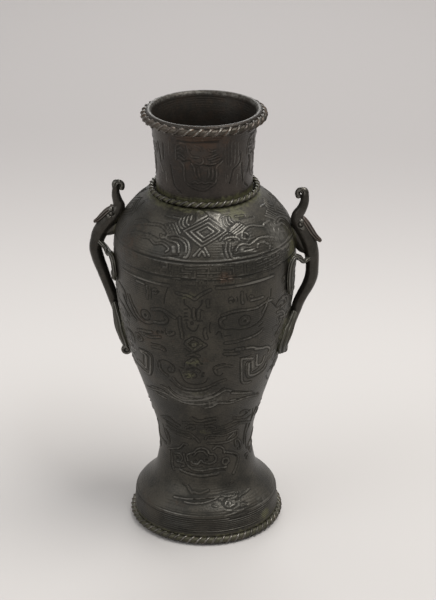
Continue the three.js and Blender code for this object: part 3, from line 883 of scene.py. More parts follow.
class VASE_OT_rings(bpy.types.Operator):
    """The three rings of twisted wire."""
    bl_idname = "vase.rings"
    bl_label = "Twisted rings"

    def execute(self, context):
        counts = context.scene.vase_rings
        finish = context.scene.vase_finish
        for node, crossings in (("lip_rope", counts.lip_crossings), ("collar_rope", counts.collar_crossings),
                                ("foot_rope", counts.foot_crossings)):
            low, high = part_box(node)
            thicker, raised, bed = RING_SHAPES[node]
            wire = (high[2] - low[2]) / 2 * thicker
            height = (low[2] + high[2]) / 2 + raised * MM
            piece = twisted_ring(node + "_twist", high[0] - wire, height, wire, crossings, bed)
            patina = bronze(node + "_bronze", finish, roughness=0.36, metallic=0.7, rub_and_highlight=0.95, **ROPE_PATINAS[node])
            dress(piece, node, patina)
        return {"FINISHED"}


class VASE_OT_handles(bpy.types.Operator):
    """Both beast handles with their crests and legs."""
    bl_idname = "vase.handles"
    bl_label = "Handles"

    def execute(self, context):
        finish = context.scene.vase_finish
        grid = spacing(context.scene.vase_handles.skin_grid)
        patinas = {name: bronze(name + "_bronze", finish, **look) for name, look in BEAST_PATINAS.items()}
        for side, beast in BEASTS.items():
            build_beast(side, beast, grid, patinas)
        return {"FINISHED"}


class VASE_OT_plain_parts(bpy.types.Operator):
    """Finish for the base plate and the rivets, which keep their CAD shape."""
    bl_idname = "vase.plain_parts"
    bl_label = "Base plate and rivets"

    def execute(self, context):
        finish = context.scene.vase_finish
        plate = bronze("plate_bronze", finish, carried=False, roughness=0.6, metallic=0.5, brown=0.6,
                       brown_everywhere=0.4)
        rivet = bronze("rivet_bronze", finish, carried=False, roughness=0.5, metallic=0.6, brown=0.5,
                       brown_everywhere=0.5)
        for name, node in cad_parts.items():
            if name == "base_plate" or name.endswith("_rivet"):
                node.data.materials.clear()
                node.data.materials.append(plate if name == "base_plate" else rivet)
        return {"FINISHED"}


class VASE_PT_panel(bpy.types.Panel):
    """Builds the pieces of the vase one by one."""
    bl_label = "Bronze Vase"
    bl_space_type = "VIEW_3D"
    bl_region_type = "UI"
    bl_category = "Bronze Vase"

    def draw(self, context):
        for step in STEPS:
            self.layout.operator(step.bl_idname)
        for settings in ("vase_shells", "vase_rings", "vase_handles", "vase_finish", "vase_stage"):
            box = self.layout.box()
            group = getattr(context.scene, settings)
            for key in group.__annotations__:
                box.prop(group, key)


def dress(piece, node, material):
    """Gives a piece its finish, and its place in the part instead of a CAD node."""
    piece.data.materials.clear()
    piece.data.materials.append(material)
    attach(piece, "root")
    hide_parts(node)


# Ornament

def spot(surface, angle, height, wide, tall, strength):
    """A soft spot on the surface, that strong in its middle; a width of 0 takes it all the way round."""
    angles = np.arange(surface.columns) * surface.turn
    across = ((angles - angle + 180) % 360 - 180) / wide if wide else 0 * angles
    up = (surface.z - height) / tall
    return strength * np.exp(-(across[None, :] ** 2 + up[:, None] ** 2))


# In millimetres: over how far the relief is compared, and how far it stands out or lies back to count in full
RELIEF_REACH = 1.6
RUBBED_AT = 0.14
DIRT_AND_SHADE_AT = 0.12


def tones(surface, spots):
    """Where the surface is rubbed and carries painted highlights, where it is dirty and carries painted shade, and
    where it is green or brown, from 0 to 1.
    """
    relief = surface.height - surface.blurred(RELIEF_REACH)
    ridge = np.clip(relief / RUBBED_AT, 0, 1)
    hollow_and_shade = np.clip(-relief / DIRT_AND_SHADE_AT, 0, 1)
    fields = {label: np.max([spot(surface, *place) for place in places], axis=0) for label, places in spots.items()}
    # The sheen spots paint highlights into the rubbed colour, and the soot spots paint shade into the dark colour.
    wear_and_highlight, painted_sheen, painted_shade = fields.pop("wear_and_highlight"), fields.pop("painted_sheen"), fields.pop("painted_shade")
    return {"ridge": np.clip(ridge * np.clip(0.3 + wear_and_highlight, 0, 1) + painted_sheen, 0, 1),
            "hollow_and_shade": np.clip(hollow_and_shade + painted_shade, 0, 1), **fields}


# Lines and outlines of the ornament, each a list of places: degrees round from the front, height in millimetres
SHOULDER_THREADS = [
    [(-21.8, 198.8), (-15.4, 198.6)],
    [(35.2, 198.6), (42.9, 198.3)],
    [(-25.4, 195), (-17.8, 191.6)],
    [(-22.7, 195.6), (-15.6, 191.6)],
    [(-20.1, 196.1), (-13.8, 191.9)],
    [(-17.3, 196.4), (-11.8, 192.5)],
    [(-14.2, 198.6), (-14.6, 196.5), (-10, 194.1)],
    [(-11.3, 199.2), (-11.5, 196.7), (-7.9, 194.9)],
    [(-8.2, 199.6), (-8.5, 197.4), (-6, 196.2)],
    [(-5.1, 200.1), (-5.2, 198.3)],
    [(36.3, 195.8), (26.2, 193.1)],
    [(38.1, 195.2), (27.5, 192.4)],
    [(39.1, 194.3), (28.6, 191.7)],
    [(39.9, 193.1), (30, 191)],
    [(33.9, 195.9), (26.9, 194.1)],
    [(23, 198.8), (22.9, 196.2), (24.9, 195.1)],
    [(25.9, 198.9), (25.8, 196.8), (27.5, 195.7)],
    [(28.9, 198.9), (28.9, 197.4), (30.9, 196.3)],
    [(-55.1, 190.5), (-43.6, 192.8), (-36.4, 193.8), (-29.3, 194.3), (-23.8, 193), (-20.7, 191.7)],
    [(-26.4, 190.5), (-24.8, 189.3), (-21.6, 189.7), (-20.9, 190.8)],
    [(-44, 185.6), (-38.7, 187.4), (-33.9, 187.6), (-28.5, 186), (-24, 186.9), (-19.9, 186.3), (-17.2, 184.8),
     (-19.1, 183.3)],
    [(-56.1, 184.4), (-50.6, 186.8), (-43.1, 187.8), (-36.4, 188.8)],
    [(-21, 190.9), (-13.8, 191.4), (-7.9, 190.4), (-4.3, 188.3), (-3.2, 185), (-4.5, 182.1), (-6.2, 181.9)],
    [(-17, 190), (-11.6, 190.1), (-7.6, 188.7), (-5.6, 186.7), (-5.1, 184.4)],
    [(-24.1, 190.1), (-18.4, 188.8), (-13.6, 188.4), (-10.9, 186.9), (-10, 184.1)],
    [(20.7, 189.9), (25.1, 190.6), (30.4, 189.9), (31.9, 188.5)],
    [(22.1, 188.4), (20.7, 184.8), (21.7, 181.5)],
    [(24.6, 187.9), (23.2, 184.6), (24.2, 182.8)],
    [(17.6, 189.8), (20.3, 191.6), (23.8, 192.4)],
    [(23.7, 182.5), (25.1, 180.8), (29.3, 180.7)],
    [(27.4, 184.1), (29.8, 186.2), (33.6, 186.7), (38.2, 185.8), (41.5, 186.5), (47.6, 187.5), (56.3, 186.4),
     (63.4, 183.6)],
    [(43.3, 183.6), (45.3, 185.3), (50, 185), (53.9, 182.2), (52.1, 181.4)],
    [(35, 191.1), (38.5, 193.2), (46, 193.6), (55.1, 191.8), (58, 192.5), (65.1, 192.6)],
    [(34.9, 191), (34, 189.3), (37.6, 188.7), (39.4, 190.5), (37.4, 191.3)],
    [(64.9, 189.1), (63.8, 186.9), (66.7, 186), (69.9, 187.6)],
    [(69.5, 186.1), (73.7, 184.7)],
    [(-0.1, 182.8), (4.7, 186.8), (6.5, 186.8), (9.6, 182.9)],
    [(3, 182.9), (5.1, 185.1), (7.1, 182.9)],
    [(38.3, 177.8), (47.1, 178.4), (53.9, 179.4)],
    [(40.9, 176.5), (50, 177.1), (57.7, 177.8)],
    [(44, 174.7), (51.8, 175.5), (59.2, 176.2)],
    [(46.4, 172.2), (52.8, 172.8), (58.8, 173.2)],
    [(46.3, 170.4), (52.7, 170.7)],
    [(-21.7, 179.6), (-15.8, 180.8), (-9.3, 180.5)],
    [(-21.2, 178.7), (-14.9, 179.9), (-10.8, 179)],
    [(-20.6, 177.1), (-17.2, 177.6), (-17, 175.6), (-19.5, 175.2)],
]
SHOULDER_FURROWS = [
    [(-30.1, 198.3), (-22.3, 198.1), (-15.5, 197.7)],
    [(37.4, 197.3), (44.9, 197.2), (51.8, 196.7)],
    [(-56.9, 192.2), (-47.9, 194.5), (-40.5, 194)],
    [(-54.5, 186), (-46.8, 188.6), (-37.1, 189.5), (-30.8, 189.1), (-27, 188.5)],
    [(25.4, 182.5), (26.9, 185.3), (30.9, 186.7), (37.4, 186.3), (44.5, 187.8), (53.4, 187.6), (62.8, 184.8)],
    [(-2.1, 179.6), (11.6, 179.3), (25.6, 178.4), (38.5, 178.8), (51.9, 179.6)],
    [(-21.8, 179.9), (-15.1, 181.4), (-9.7, 182.4)],
    [(19.2, 187.2), (19.3, 184.2), (19.7, 181.9)],
    [(-11.9, 188.5), (-10, 185.9), (-10, 182.9)],
]
BAND_DASHES = [
    [(-5.9, 177.6), (7.8, 178.2)],
    [(10.8, 178), (24.9, 177.2)],
    [(-5.1, 176), (8.9, 176.5)],
    [(17.7, 176.3), (24.2, 175.8)],
    [(-8.2, 173.2), (-1.9, 173.6)],
    [(2.5, 174), (16.1, 173.9)],
    [(-14.5, 171.1), (-8, 171.6)],
    [(2.5, 172.5), (7.2, 172.4)],
    [(12.3, 172.1), (16.4, 171.9)],
    [(20.6, 171.7), (25.5, 171.3)],
    [(-12.9, 169.6), (-8.2, 169.9)],
    [(2.1, 170.6), (10.1, 170.4)],
    [(11.5, 170.3), (19.2, 169.9)],
    [(21.4, 169.9), (29.5, 169.1)],
    [(32.6, 169.1), (38.7, 168.8)],
    [(-14.5, 173.1), (-14.5, 170.9)],
    [(-2, 173.6), (-2, 171.7)],
    [(9.3, 176.4), (9.3, 174)],
    [(24.6, 175.7), (24.6, 172)],
    [(-0.1, 169.2), (-0.1, 165.8)],
    [(1.7, 166.6), (1.8, 169.3), (5.9, 169.4), (5.9, 166.3)],
    [(3.8, 168), (3.8, 166.3)],
    [(8.5, 169.3), (8.5, 165.9)],
]
SHOULDER_FIELDS = [
    [(-1.4, 201.6), (5.1, 201.7), (10.6, 199.1), (-6, 194.5), (-8.7, 193.7), (-4.8, 196.3), (-1.1, 198.2)],
    [(7.4, 201.7), (23, 200.6), (19.9, 197.9), (23, 194.1), (19.9, 194.7), (11.4, 199)],
]
SHOULDER_PEBBLES = [
    [(-16.4, 184.7), (-16.7, 187), (-13.4, 187.8), (-11.2, 186.4), (-11.4, 183.4), (-14.6, 182.8)],
    [(29.4, 182.7), (30.5, 185.1), (34.2, 185.8), (40.2, 184.4), (43.2, 182.4), (41.6, 180.6), (35.2, 181.2)],
]
SHOULDER_DIAMOND = [(-8.9, 193.7), (10.8, 199.2), (23.5, 193.7), (4.6, 187.3)]
MASK_THREADS = [
    [(17.4, 148.3), (21.6, 149.4), (25.3, 149.9), (29.7, 149.9), (34.2, 149.5), (39, 149.3), (42.8, 149.7),
     (45.6, 150.6), (49.4, 151.2), (53.1, 151.1)],
    [(18.2, 141.7), (16.6, 143.3), (17, 145.7), (19.5, 146.8)],
    [(-48.4, 151.4), (-46.3, 147.4), (-43.4, 144.2), (-40.6, 141.2), (-36.2, 139.3)],
    [(-27.1, 141), (-22.8, 141.2), (-19.1, 142.4), (-17.2, 144.3), (-18.9, 145.6)],
    [(-28.4, 148.4), (-24.8, 149.3), (-21.8, 149.8), (-18.4, 149.3), (-15.4, 147.7), (-12.2, 146.1)],
    [(-10.5, 161.6), (-7.4, 161.1), (-4.3, 160.7), (-1.8, 159.9), (0.8, 158.7), (2.8, 160.1), (4.8, 161.6),
     (7.8, 163.1), (10.2, 164.2)],
    [(-0.1, 152.7), (-0.1, 149.4), (0.5, 146.3)],
    [(3.2, 151.8), (2.8, 149.5), (2.7, 146.6)],
    [(-9, 146.6), (-9, 141.9), (-8.3, 138.4), (-7.8, 134.1)],
    [(7, 140.4), (6.8, 137), (7.6, 134.3)],
    [(8.5, 157.9), (8.8, 154.3)],
    [(-31.1, 162.2), (-30.8, 158.5), (-31.2, 154.8)],
    [(-26.5, 160.9), (-24.4, 161.3), (-24.2, 159.5), (-26.3, 158.8)],
    [(29.9, 160.7), (30.1, 157.6), (30.6, 154.3)],
    [(22.2, 157.7), (23.5, 158.1), (23.8, 156.5), (22.5, 156.2)],
    [(-39.8, 163.1), (-36.5, 162.9), (-33.4, 162.6)],
    [(36.3, 154.9), (41.2, 154.8), (45.3, 154.9)],
    [(35.6, 157.4), (37.4, 157)],
    [(-17.4, 134.9), (-15.1, 135.2), (-13.5, 136.5)],
    [(-43, 131.6), (-39.1, 132.4), (-34.4, 132.9), (-30, 133.8)],
    [(-38.6, 130.7), (-32, 130.2), (-23.7, 132.1)],
    [(-46.1, 127.8), (-42.9, 128.6), (-40.6, 127.4), (-40.1, 126.1), (-43.3, 125.1), (-45.6, 126.1), (-46.1, 127.8)],
    [(20, 130.6), (26.2, 130.5), (32, 131.2), (38.1, 131.6), (44.5, 133), (47, 134.7)],
    [(-5.9, 130.4), (-3, 128.1), (-0.6, 126.4), (2.5, 128.7), (4.4, 130)],
    [(-5.9, 130.4), (-3.3, 132.7), (-1.1, 134)],
    [(-1.5, 130.4), (0.1, 130.6), (0.4, 129.4), (-1.3, 129.2)],
    [(-31.2, 124.2), (-24.7, 124.7), (-21, 123.8)],
    [(-45.1, 117.7), (-40.3, 118.1), (-36.5, 117.4), (-35.1, 116.3), (-36.8, 110.8), (-39.6, 104.8), (-43, 102.1),
     (-48.8, 102.4), (-55.6, 103.6), (-63.4, 104.2)],
    [(-44.5, 116.9), (-40.7, 116.3), (-40.1, 114.9), (-41.8, 110.4), (-44, 106.2), (-48.2, 107.2), (-52.7, 108.5)],
    [(-18, 114.2), (-16.4, 112.7), (-16.9, 110.7)],
    [(-27.5, 114.4), (-27.8, 110.8), (-26.3, 108.3), (-22.5, 106.2)],
    [(14.5, 114.2), (18, 115.1), (22.7, 115.2), (25.6, 114.2)],
    [(13.7, 112.9), (14.7, 110.8)],
    [(41.8, 116.7), (34.7, 118), (32.7, 117.7), (34, 109.9), (36.3, 101.7), (40.7, 99.7), (45.2, 99.5)],
    [(39.4, 113.6), (41.2, 106), (45.4, 104.3), (52.1, 104.7), (56.8, 106.7), (57.7, 109.3)],
    [(-4.6, 122.7), (-0.9, 123.6), (2.6, 122.6)],
    [(-4, 118.6), (-1, 120.8), (1.7, 118.9)],
    [(-5.5, 111.7), (-3.7, 111.8)],
    [(-8.1, 109.8), (-6.9, 109.2)],
    [(-7.8, 107), (-5.3, 107.4)],
    [(-3.9, 112.7), (0, 113.2), (2.8, 111.6)],
    [(-1.5, 109), (-0.5, 108.7)],
    [(-17.9, 105.3), (-14.6, 101.5), (-9.6, 99.1), (-3.6, 98.4), (3, 99.1), (8.8, 100.6), (13.8, 102.8),
     (17.5, 104.4), (21.9, 105.3)],
    [(-31.3, 96.8), (-25.9, 95.7), (-21.4, 92.3), (-15.7, 90.2), (-9.8, 89.6), (1.2, 90.5), (8.9, 91.8),
     (15.7, 94.1), (19.7, 96.1), (23.6, 97.5), (27.7, 96.3)],
    [(-45.8, 92.3), (-37.7, 93.1), (-31.1, 93.2)],
    [(-46.1, 90.3), (-37.2, 88.6), (-30.7, 87.9)],
    [(28.8, 94.6), (35.5, 93.6), (45.8, 90.9)],
    [(28.9, 88.8), (38.8, 88.2), (48.1, 87.9), (61.2, 86.6)],
    [(27.7, 125.2), (33.1, 125.1)],
    [(19.7, 123.6), (24.3, 123.1), (29.7, 122.6)],
    [(35, 125.1), (40.2, 124.5), (44.6, 122.6)],
    [(-46, 128.1), (-41.3, 125.6)],
    [(-55.1, 127.4), (-50.5, 125.8), (-50.2, 121.9)],
    [(45.3, 118.2), (47.3, 110.7), (52.5, 110.9), (53.6, 114.9)],
    [(49.9, 152.7), (48.2, 148.6), (45.9, 145.3)],
    [(59, 146), (62.1, 148.1), (67.9, 146.9), (70.5, 143.6), (63.8, 142.9)],
    [(59.8, 141.1), (65.9, 140.2), (70.9, 135.7), (63.6, 136.7)],
    [(64.2, 148.9), (71.4, 147.5), (73.4, 144.1)],
    [(-62.1, 154.5), (-54.6, 151.8), (-53.3, 146.9)],
    [(-57.3, 148.5), (-53.2, 143.8), (-46.6, 139.1), (-43.5, 137.7)],
    [(-70.5, 142.8), (-59.5, 141.6), (-51.5, 137.4)],
    [(42.5, 122.9), (49.3, 121.7), (54, 121.1), (57.8, 118.4), (57.1, 116.1)],
    [(71.2, 134.8), (65.8, 129.6), (62, 126.1)],
    [(89.2, 127.9), (75.7, 125.2), (68.3, 122.3)],
]
MASK_FURROWS = [
    [(16.9, 147), (20, 147.9), (23.7, 148.8), (28.1, 149.2), (32.5, 149), (37.2, 148.8), (42.8, 149.3),
     (46.7, 149.8), (49.5, 149.9), (49.4, 147.6), (47.9, 145), (46.1, 142.2), (42.9, 139.9), (38.6, 138.4),
     (33.7, 137.8), (29.1, 138.1), (24, 139.2), (19.7, 139.4), (16.2, 140.9), (15.2, 143.9), (15.6, 146.5),
     (16.9, 147)],
    [(-50.8, 151.6), (-49, 147.9), (-46.4, 144.7), (-43.8, 141.4), (-40.1, 138.9), (-35.6, 138.1), (-31.3, 138.4),
     (-26.6, 140.2), (-24.1, 140), (-20.5, 140.1), (-17.3, 141.7), (-16.6, 144.4), (-18.7, 147.2), (-21, 148.3),
     (-24, 148.6)],
    [(-19.7, 150.3), (-16.4, 148.7), (-13.8, 147), (-11.6, 145.6)],
    [(-5.7, 158.2), (-5.5, 155.1), (-3.4, 153.8), (-1.5, 151.4), (-1.5, 147.2)],
    [(5.2, 158.2), (4.7, 155.6), (2.8, 153.1), (1.2, 151.4), (0.8, 147.7)],
    [(3.9, 152.3), (5.8, 151.6)],
    [(-5.8, 152), (-4.1, 152.2)],
    [(-5.9, 149.7), (-4.1, 149.9)],
    [(-6, 147.6), (-4.1, 147.7)],
    [(-6, 145.3), (-4.1, 145.5)],
    [(-4.8, 144.1), (-4.3, 141.2), (-2.3, 139.4), (-0.2, 138.7), (1.9, 140.5), (2.6, 142.7)],
    [(-2.3, 143.8), (-1.4, 144.6), (-0.5, 143.9), (-1.4, 142.8), (-2.3, 143.8)],
    [(2.3, 145.1), (5.2, 145.4)],
    [(10.3, 144.3), (9.6, 142.2), (9.5, 139.9), (10.1, 137.8)],
    [(-28, 161.7), (-27.8, 158.7), (-28.2, 155.5)],
    [(-16.2, 163.9), (-18, 159.1), (-19.2, 153.8)],
    [(32.7, 159.3), (34.1, 155.3)],
    [(24.3, 158.3), (25.1, 156.4), (24.4, 155.5)],
    [(26.7, 158.7), (27.3, 156.1)],
    [(17.9, 165.4), (23.9, 165.2), (29.3, 165.2), (33.1, 165.3)],
    [(51.9, 158.2), (51.9, 153.6)],
    [(-25.1, 136.1), (-26.1, 134.8), (-25.1, 133.7)],
    [(-22, 136.5), (-21.8, 135.2)],
    [(-19.1, 138.1), (-19.6, 136.1), (-18.9, 134.7)],
    [(-17.1, 136.8), (-14.6, 137.3)],
    [(14, 136.8), (15.2, 138.4), (17, 137.4), (17.6, 134.8)],
    [(19.3, 135.2), (23.1, 135.3)],
    [(43.7, 137.2), (46.6, 138.5)],
    [(-6.3, 132.2), (-3.5, 133.7), (-1.1, 135.2), (2.9, 134.1), (4.5, 132.7), (6.5, 131.4), (8.4, 129.8),
     (5.4, 127.9), (2.7, 126.2), (-0.1, 125)],
    [(-6.6, 127.1), (-4.4, 125.8), (-3.2, 125.5)],
    [(-4.5, 130.3), (-2.8, 132.2), (-0.4, 132.8), (2.3, 131.6), (2, 129.7)],
    [(-3.4, 129.7), (-2.1, 128.6)],
    [(-31.9, 126.4), (-24.4, 126.6), (-20.8, 125.5), (-20.2, 123.8)],
    [(-45.3, 119.2), (-38.9, 119.5), (-32.9, 118.2), (-33.5, 112.8), (-36.6, 105.6), (-40.3, 102.1)],
    [(-42, 116.3), (-37.8, 115.5), (-39, 111.3), (-41.9, 105.3), (-45.8, 105.1), (-50, 107.1), (-55.8, 108)],
    [(-42.7, 115.2), (-44.3, 111.9), (-45.6, 108.7)],
    [(-29.3, 110.9), (-28.1, 114.5), (-24.9, 116.6), (-20.9, 116.9), (-17.9, 115.6), (-15.5, 113.9)],
    [(-19, 113.2), (-21.2, 111.2), (-20.6, 109.2), (-17.1, 109.4), (-15.3, 111.3)],
    [(12.6, 112.1), (12.2, 114.3), (13.9, 115.8), (17.3, 116.7), (20.8, 116.7)],
    [(12.9, 111.5), (14.8, 109), (17.8, 108.6), (19.5, 110.2)],
    [(41, 114.7), (38.6, 115.3), (36.6, 114), (37.3, 108.6), (38.6, 105.3), (42, 102.6), (47.9, 102.4),
     (54.8, 103.2), (59.1, 104.8), (59.6, 107.6)],
    [(41.3, 113.5), (42.9, 107.6)],
    [(44.5, 106.9), (49, 107.8), (51.6, 110.1)],
    [(-8, 114.9), (-7.3, 117.7), (-4.8, 119.7), (-1, 122), (2, 120.4), (3.2, 118.1)],
    [(-6.6, 113), (-2.9, 114.3), (1.2, 113.9), (3.6, 112.1)],
    [(-11.3, 114.1), (-8.8, 113.6)],
    [(-12.1, 112.1), (-10.8, 108.1), (-9.8, 105.2), (-7.5, 103.3), (-3.8, 102.4), (2.5, 102.7), (6.9, 104.3),
     (8.8, 107.4)],
    [(-3.3, 108.9), (-1.5, 111), (0.5, 109.8), (0.3, 107.9), (-1.6, 106.9), (-3.2, 108)],
    [(-21.2, 103.4), (-17.7, 100.3), (-12.6, 97.7), (-7.2, 96.9), (2.2, 97.3), (8.2, 98.7), (12, 101), (15.2, 101.6)],
    [(-24.4, 97.9), (-20.6, 94.8), (-15.1, 92.6), (-9.4, 91.9), (1.3, 92), (7.5, 93.1), (14.3, 95.3), (18.2, 97.5),
     (22.1, 99.7)],
    [(-17.7, 88.6), (-9.9, 88.7), (1.1, 89.2), (9, 89.2), (16, 90.2)],
    [(28.2, 95.8), (35.1, 94.8), (43.3, 92.4), (55.2, 88.4)],
    [(19.1, 126.2), (24.2, 125.6), (29.4, 126.2), (33.6, 126.2)],
    [(21.5, 121.9), (28, 121.4)],
    [(30.7, 119.2), (35.8, 119.1), (39.7, 119.6)],
    [(52.3, 150.5), (54.9, 148.1), (59.3, 144.4), (63.5, 144.5)],
]
MASK_PUPILS = [(-33.9, 143.6), (32.6, 143.1)]
COLUMN_THREADS = [
    [(29.3, 94.3), (38, 92.6), (50.9, 90.5)],
    [(-56.6, 89.2), (-33.7, 92), (-20.8, 89.8), (-12.8, 88), (-0.9, 87.3), (7.8, 88.1)],
    [(6.8, 84.9), (12.7, 85.9), (18.5, 88.1), (28.8, 87), (45.6, 88), (63.9, 85.1)],
    [(-7.4, 76.5), (0.1, 74.5), (8.9, 75.9), (17, 76.8)],
    [(-16.5, 72.2), (-6.8, 73), (1.1, 72.6), (8.9, 73.2), (16.1, 74.3)],
    [(-47.3, 70.6), (-35.2, 72.9), (-27.6, 70.4), (-22.3, 69.3)],
    [(-41.2, 68.5), (-29.5, 65.9), (-18.5, 64.9), (-10.8, 64.5), (-3.6, 60.9), (-0.9, 59)],
    [(-41.8, 65), (-30.9, 63), (-20.8, 62.2), (-11.4, 61.2)],
    [(-15, 68.2), (-9, 70.5), (-5, 69.5), (-9.5, 67.8)],
    [(6.7, 70.5), (13, 71.2), (16.6, 69.5), (9, 68.5)],
    [(19.6, 69), (28, 69.8), (39, 71.9), (53.3, 70.2), (62.5, 71.1)],
    [(15.1, 65.9), (28.7, 66.4), (40.5, 67.9), (47.5, 68.9), (67.8, 65)],
    [(35.4, 74.7), (45.5, 73.1), (52.5, 74.2), (56.7, 75.6)],
    [(6.6, 61.2), (9.1, 63.6), (19, 63.5), (28.2, 62.9), (38.9, 64.2), (45.2, 63.7), (45.7, 59.6), (36.5, 58),
     (27.7, 57.6), (9.1, 58.2)],
    [(33.1, 59.4), (36.5, 60.9), (40.2, 62.7)],
    [(45.7, 53.3), (44.2, 57), (47.9, 57.1), (52.3, 54), (54.7, 50.5), (49.8, 50.5)],
    [(-46, 48.8), (-27.3, 52.4), (-20.6, 55.9), (-16, 56)],
    [(-40.7, 47.4), (-38.5, 41.1), (-34.5, 37.2)],
    [(-34.4, 48), (-26.3, 48.7), (-23.2, 46.1), (-26.1, 43.5), (-32.8, 43.3), (-34.8, 45.9)],
    [(-25.6, 43.1), (-21.7, 43.2), (-20, 41.8), (-23.6, 40.9)],
    [(28.9, 51.4), (37.3, 49.7), (47.8, 47.1), (50.5, 43.8), (44, 38), (40.3, 36.1)],
    [(35.9, 44), (31.2, 42.4), (27.7, 44.2), (29.3, 46.3), (34.6, 46.1), (36.2, 44)],
    [(15.7, 54), (21, 55.9), (28, 53.7), (29.7, 50.5)],
    [(-15.9, 45.4), (-16.3, 49.1), (-8.3, 51.3), (-3.8, 53.9), (2.6, 55), (9.1, 53.3), (10.7, 51), (17.4, 50),
     (19, 46.1), (12, 44.3), (3.9, 45), (1, 46.5), (-2.8, 44.2), (-8.3, 43.9), (-11.2, 45.1)],
    [(-7.8, 49.2), (-3.5, 52.1), (3.8, 52.6), (8.8, 49.7)],
    [(-21.2, 49.3), (-18.4, 43.8), (-9.7, 40.5), (1.1, 40), (11.6, 40.9), (22.4, 41.1), (32.6, 40.9)],
    [(-27, 38.8), (-14.9, 37.6), (-1.4, 36.9), (11.5, 37.4), (22.1, 38)],
    [(59.5, 67.1), (60.1, 58.4), (60.6, 52.3)],
    [(70.3, 74.4), (67.9, 67.3), (66.3, 61.5)],
    [(-66.1, 64.4), (-71.1, 54.2), (-56.6, 51.8), (-51, 51.6)],
    [(-46.4, 61.7), (-43.3, 57), (-43.5, 53.2)],
    [(43.6, 77.2), (49.1, 77.6), (55.8, 74.4), (51.1, 73.9)],
]
COLUMN_FURROWS = [
    [(-6.1, 77.7), (1.3, 75.5), (8.9, 77.1), (16.6, 77.5)],
    [(-43.6, 70.3), (-34.1, 69.3), (-24.4, 67.8)],
    [(24.3, 69.6), (38.1, 70.5), (48.2, 70.7)],
    [(-33.7, 39), (-22.4, 38.8), (-12.3, 38.4), (-1.5, 38), (8.9, 38.5), (19.5, 39.5), (30.9, 39.2)],
    [(-43, 48.1), (-41.4, 40.6), (-36.8, 36.5)],
    [(10.4, 61.2), (16.7, 61.3)],
    [(62.2, 75.7), (67.8, 65), (63.3, 58.4), (64.6, 51.4), (67.7, 46.9)],
    [(-50.4, 64.7), (-50.3, 58.5), (-46.7, 55.4)],
    [(-14.3, 44.3), (-12, 42.1), (-4.4, 41.9), (2.3, 42.3)],
    [(29.7, 50.5), (40.7, 48.4), (47.1, 45.9)],
]
NECK_THREADS = [
    [(-23.7, 228.8), (-19.1, 227.3), (-16.6, 225.2), (-16.7, 220.3), (-15.8, 217), (-11.8, 215.1), (-7.4, 213.8)],
    [(29.3, 233.6), (29.4, 229.9), (25.2, 227.3), (21.1, 225.5), (21.1, 220.8), (20.1, 217), (16.8, 215.1)],
    [(-7.2, 227.3), (-4.5, 224.9), (-3.7, 221.5), (-1.8, 219.8)],
    [(0.2, 225), (0.6, 222.1), (2.2, 219.2)],
    [(16.3, 225.4), (16.7, 221), (15.3, 218.4)],
    [(11.6, 225), (12.4, 221.6), (11, 219.2)],
    [(-6.8, 216), (-3.4, 216.9), (0, 216.2), (3.8, 216.9), (7.6, 216.1), (11.5, 216.7), (17.2, 216.1)],
    [(-7.4, 213.8), (-0.1, 212.6), (7.6, 212.4), (16.8, 215.1)],
    [(-26.4, 228.8), (-26.1, 232.8), (-24.8, 236.9), (-18.6, 238.6), (-11.9, 238.3), (-7.9, 236.1)],
    [(-23.7, 235), (-19.5, 235.9), (-15.9, 235.1)],
    [(-24.4, 233), (-18.4, 232.7), (-15.6, 231)],
    [(-22.8, 230.9), (-18.7, 230.2), (-15.8, 229.2)],
    [(-11.9, 238.3), (-10.5, 234), (-6.9, 231.7), (0.5, 231.4)],
    [(-2.8, 238.3), (1.6, 237.4), (4.2, 235.4)],
    [(11.4, 235.9), (15, 234.8), (19.5, 235.6)],
    [(10.5, 231.3), (15.5, 231.9), (20.8, 233.1)],
    [(12.5, 230.2), (17.9, 230.8), (23, 231.7)],
    [(15.6, 228.9), (20.7, 229.4), (25, 230.3)],
    [(5, 231), (5.9, 229), (2.2, 227), (-3.4, 228.1)],
    [(9.1, 227.5), (15.2, 227.2), (19.9, 227.6)],
    [(-27.7, 241.5), (-13.4, 241.6), (0.9, 241.7), (14.8, 241.8), (26.4, 241.9)],
]
NECK_FURROWS = [
    [(-34.9, 224.5), (-33.5, 218.8), (-31.1, 213.7), (-27, 211.2), (-21.4, 209.3)],
    [(52, 230.7), (51.2, 225.4), (42.1, 222.1), (40, 218.4), (37.7, 214.5)],
    [(-24.1, 229.3), (-18, 228.1), (-9.5, 229.1), (-7.7, 226.7)],
    [(19.9, 226.5), (23.7, 227.5), (28, 229.5)],
    [(-23.4, 239.8), (-8, 240), (6.1, 240.2), (22, 240.4)],
    [(-1.5, 227.5), (5, 227), (12.4, 226.2), (19.9, 226.7)],
    [(64.9, 234.2), (66, 229.2), (70.6, 223.6), (66.8, 217.8)],
    [(-55.3, 235.3), (-53.8, 229.7), (-52.4, 224.5)],
    [(-44.4, 235.9), (-47, 226.8)],
]
NECK_RIBS = [
    [(29.8, 238.5), (30.4, 230), (33.5, 224.9)],
    [(33.3, 239.7), (34.6, 229.7), (35.7, 224.2)],
    [(37.3, 239.5), (38.9, 229.3), (38.3, 224.9)],
    [(41.7, 238.8), (43.5, 229.8), (42.7, 226)],
    [(46.2, 237.8), (48, 230.2)],
    [(31.3, 220.7), (32.9, 215.7)],
    [(34.3, 219.9), (35.6, 214.9)],
    [(73.3, 235.8), (81.6, 223.2)],
    [(59.9, 218.9), (59.6, 212.1)],
    [(48.4, 218.9), (48.1, 211.7)],
    [(-43.4, 219.5), (-42.4, 212.8)],
    [(-54.5, 224.2), (-49.3, 218.6)],
    [(-34.2, 238.3), (-35.6, 230.3)],
]
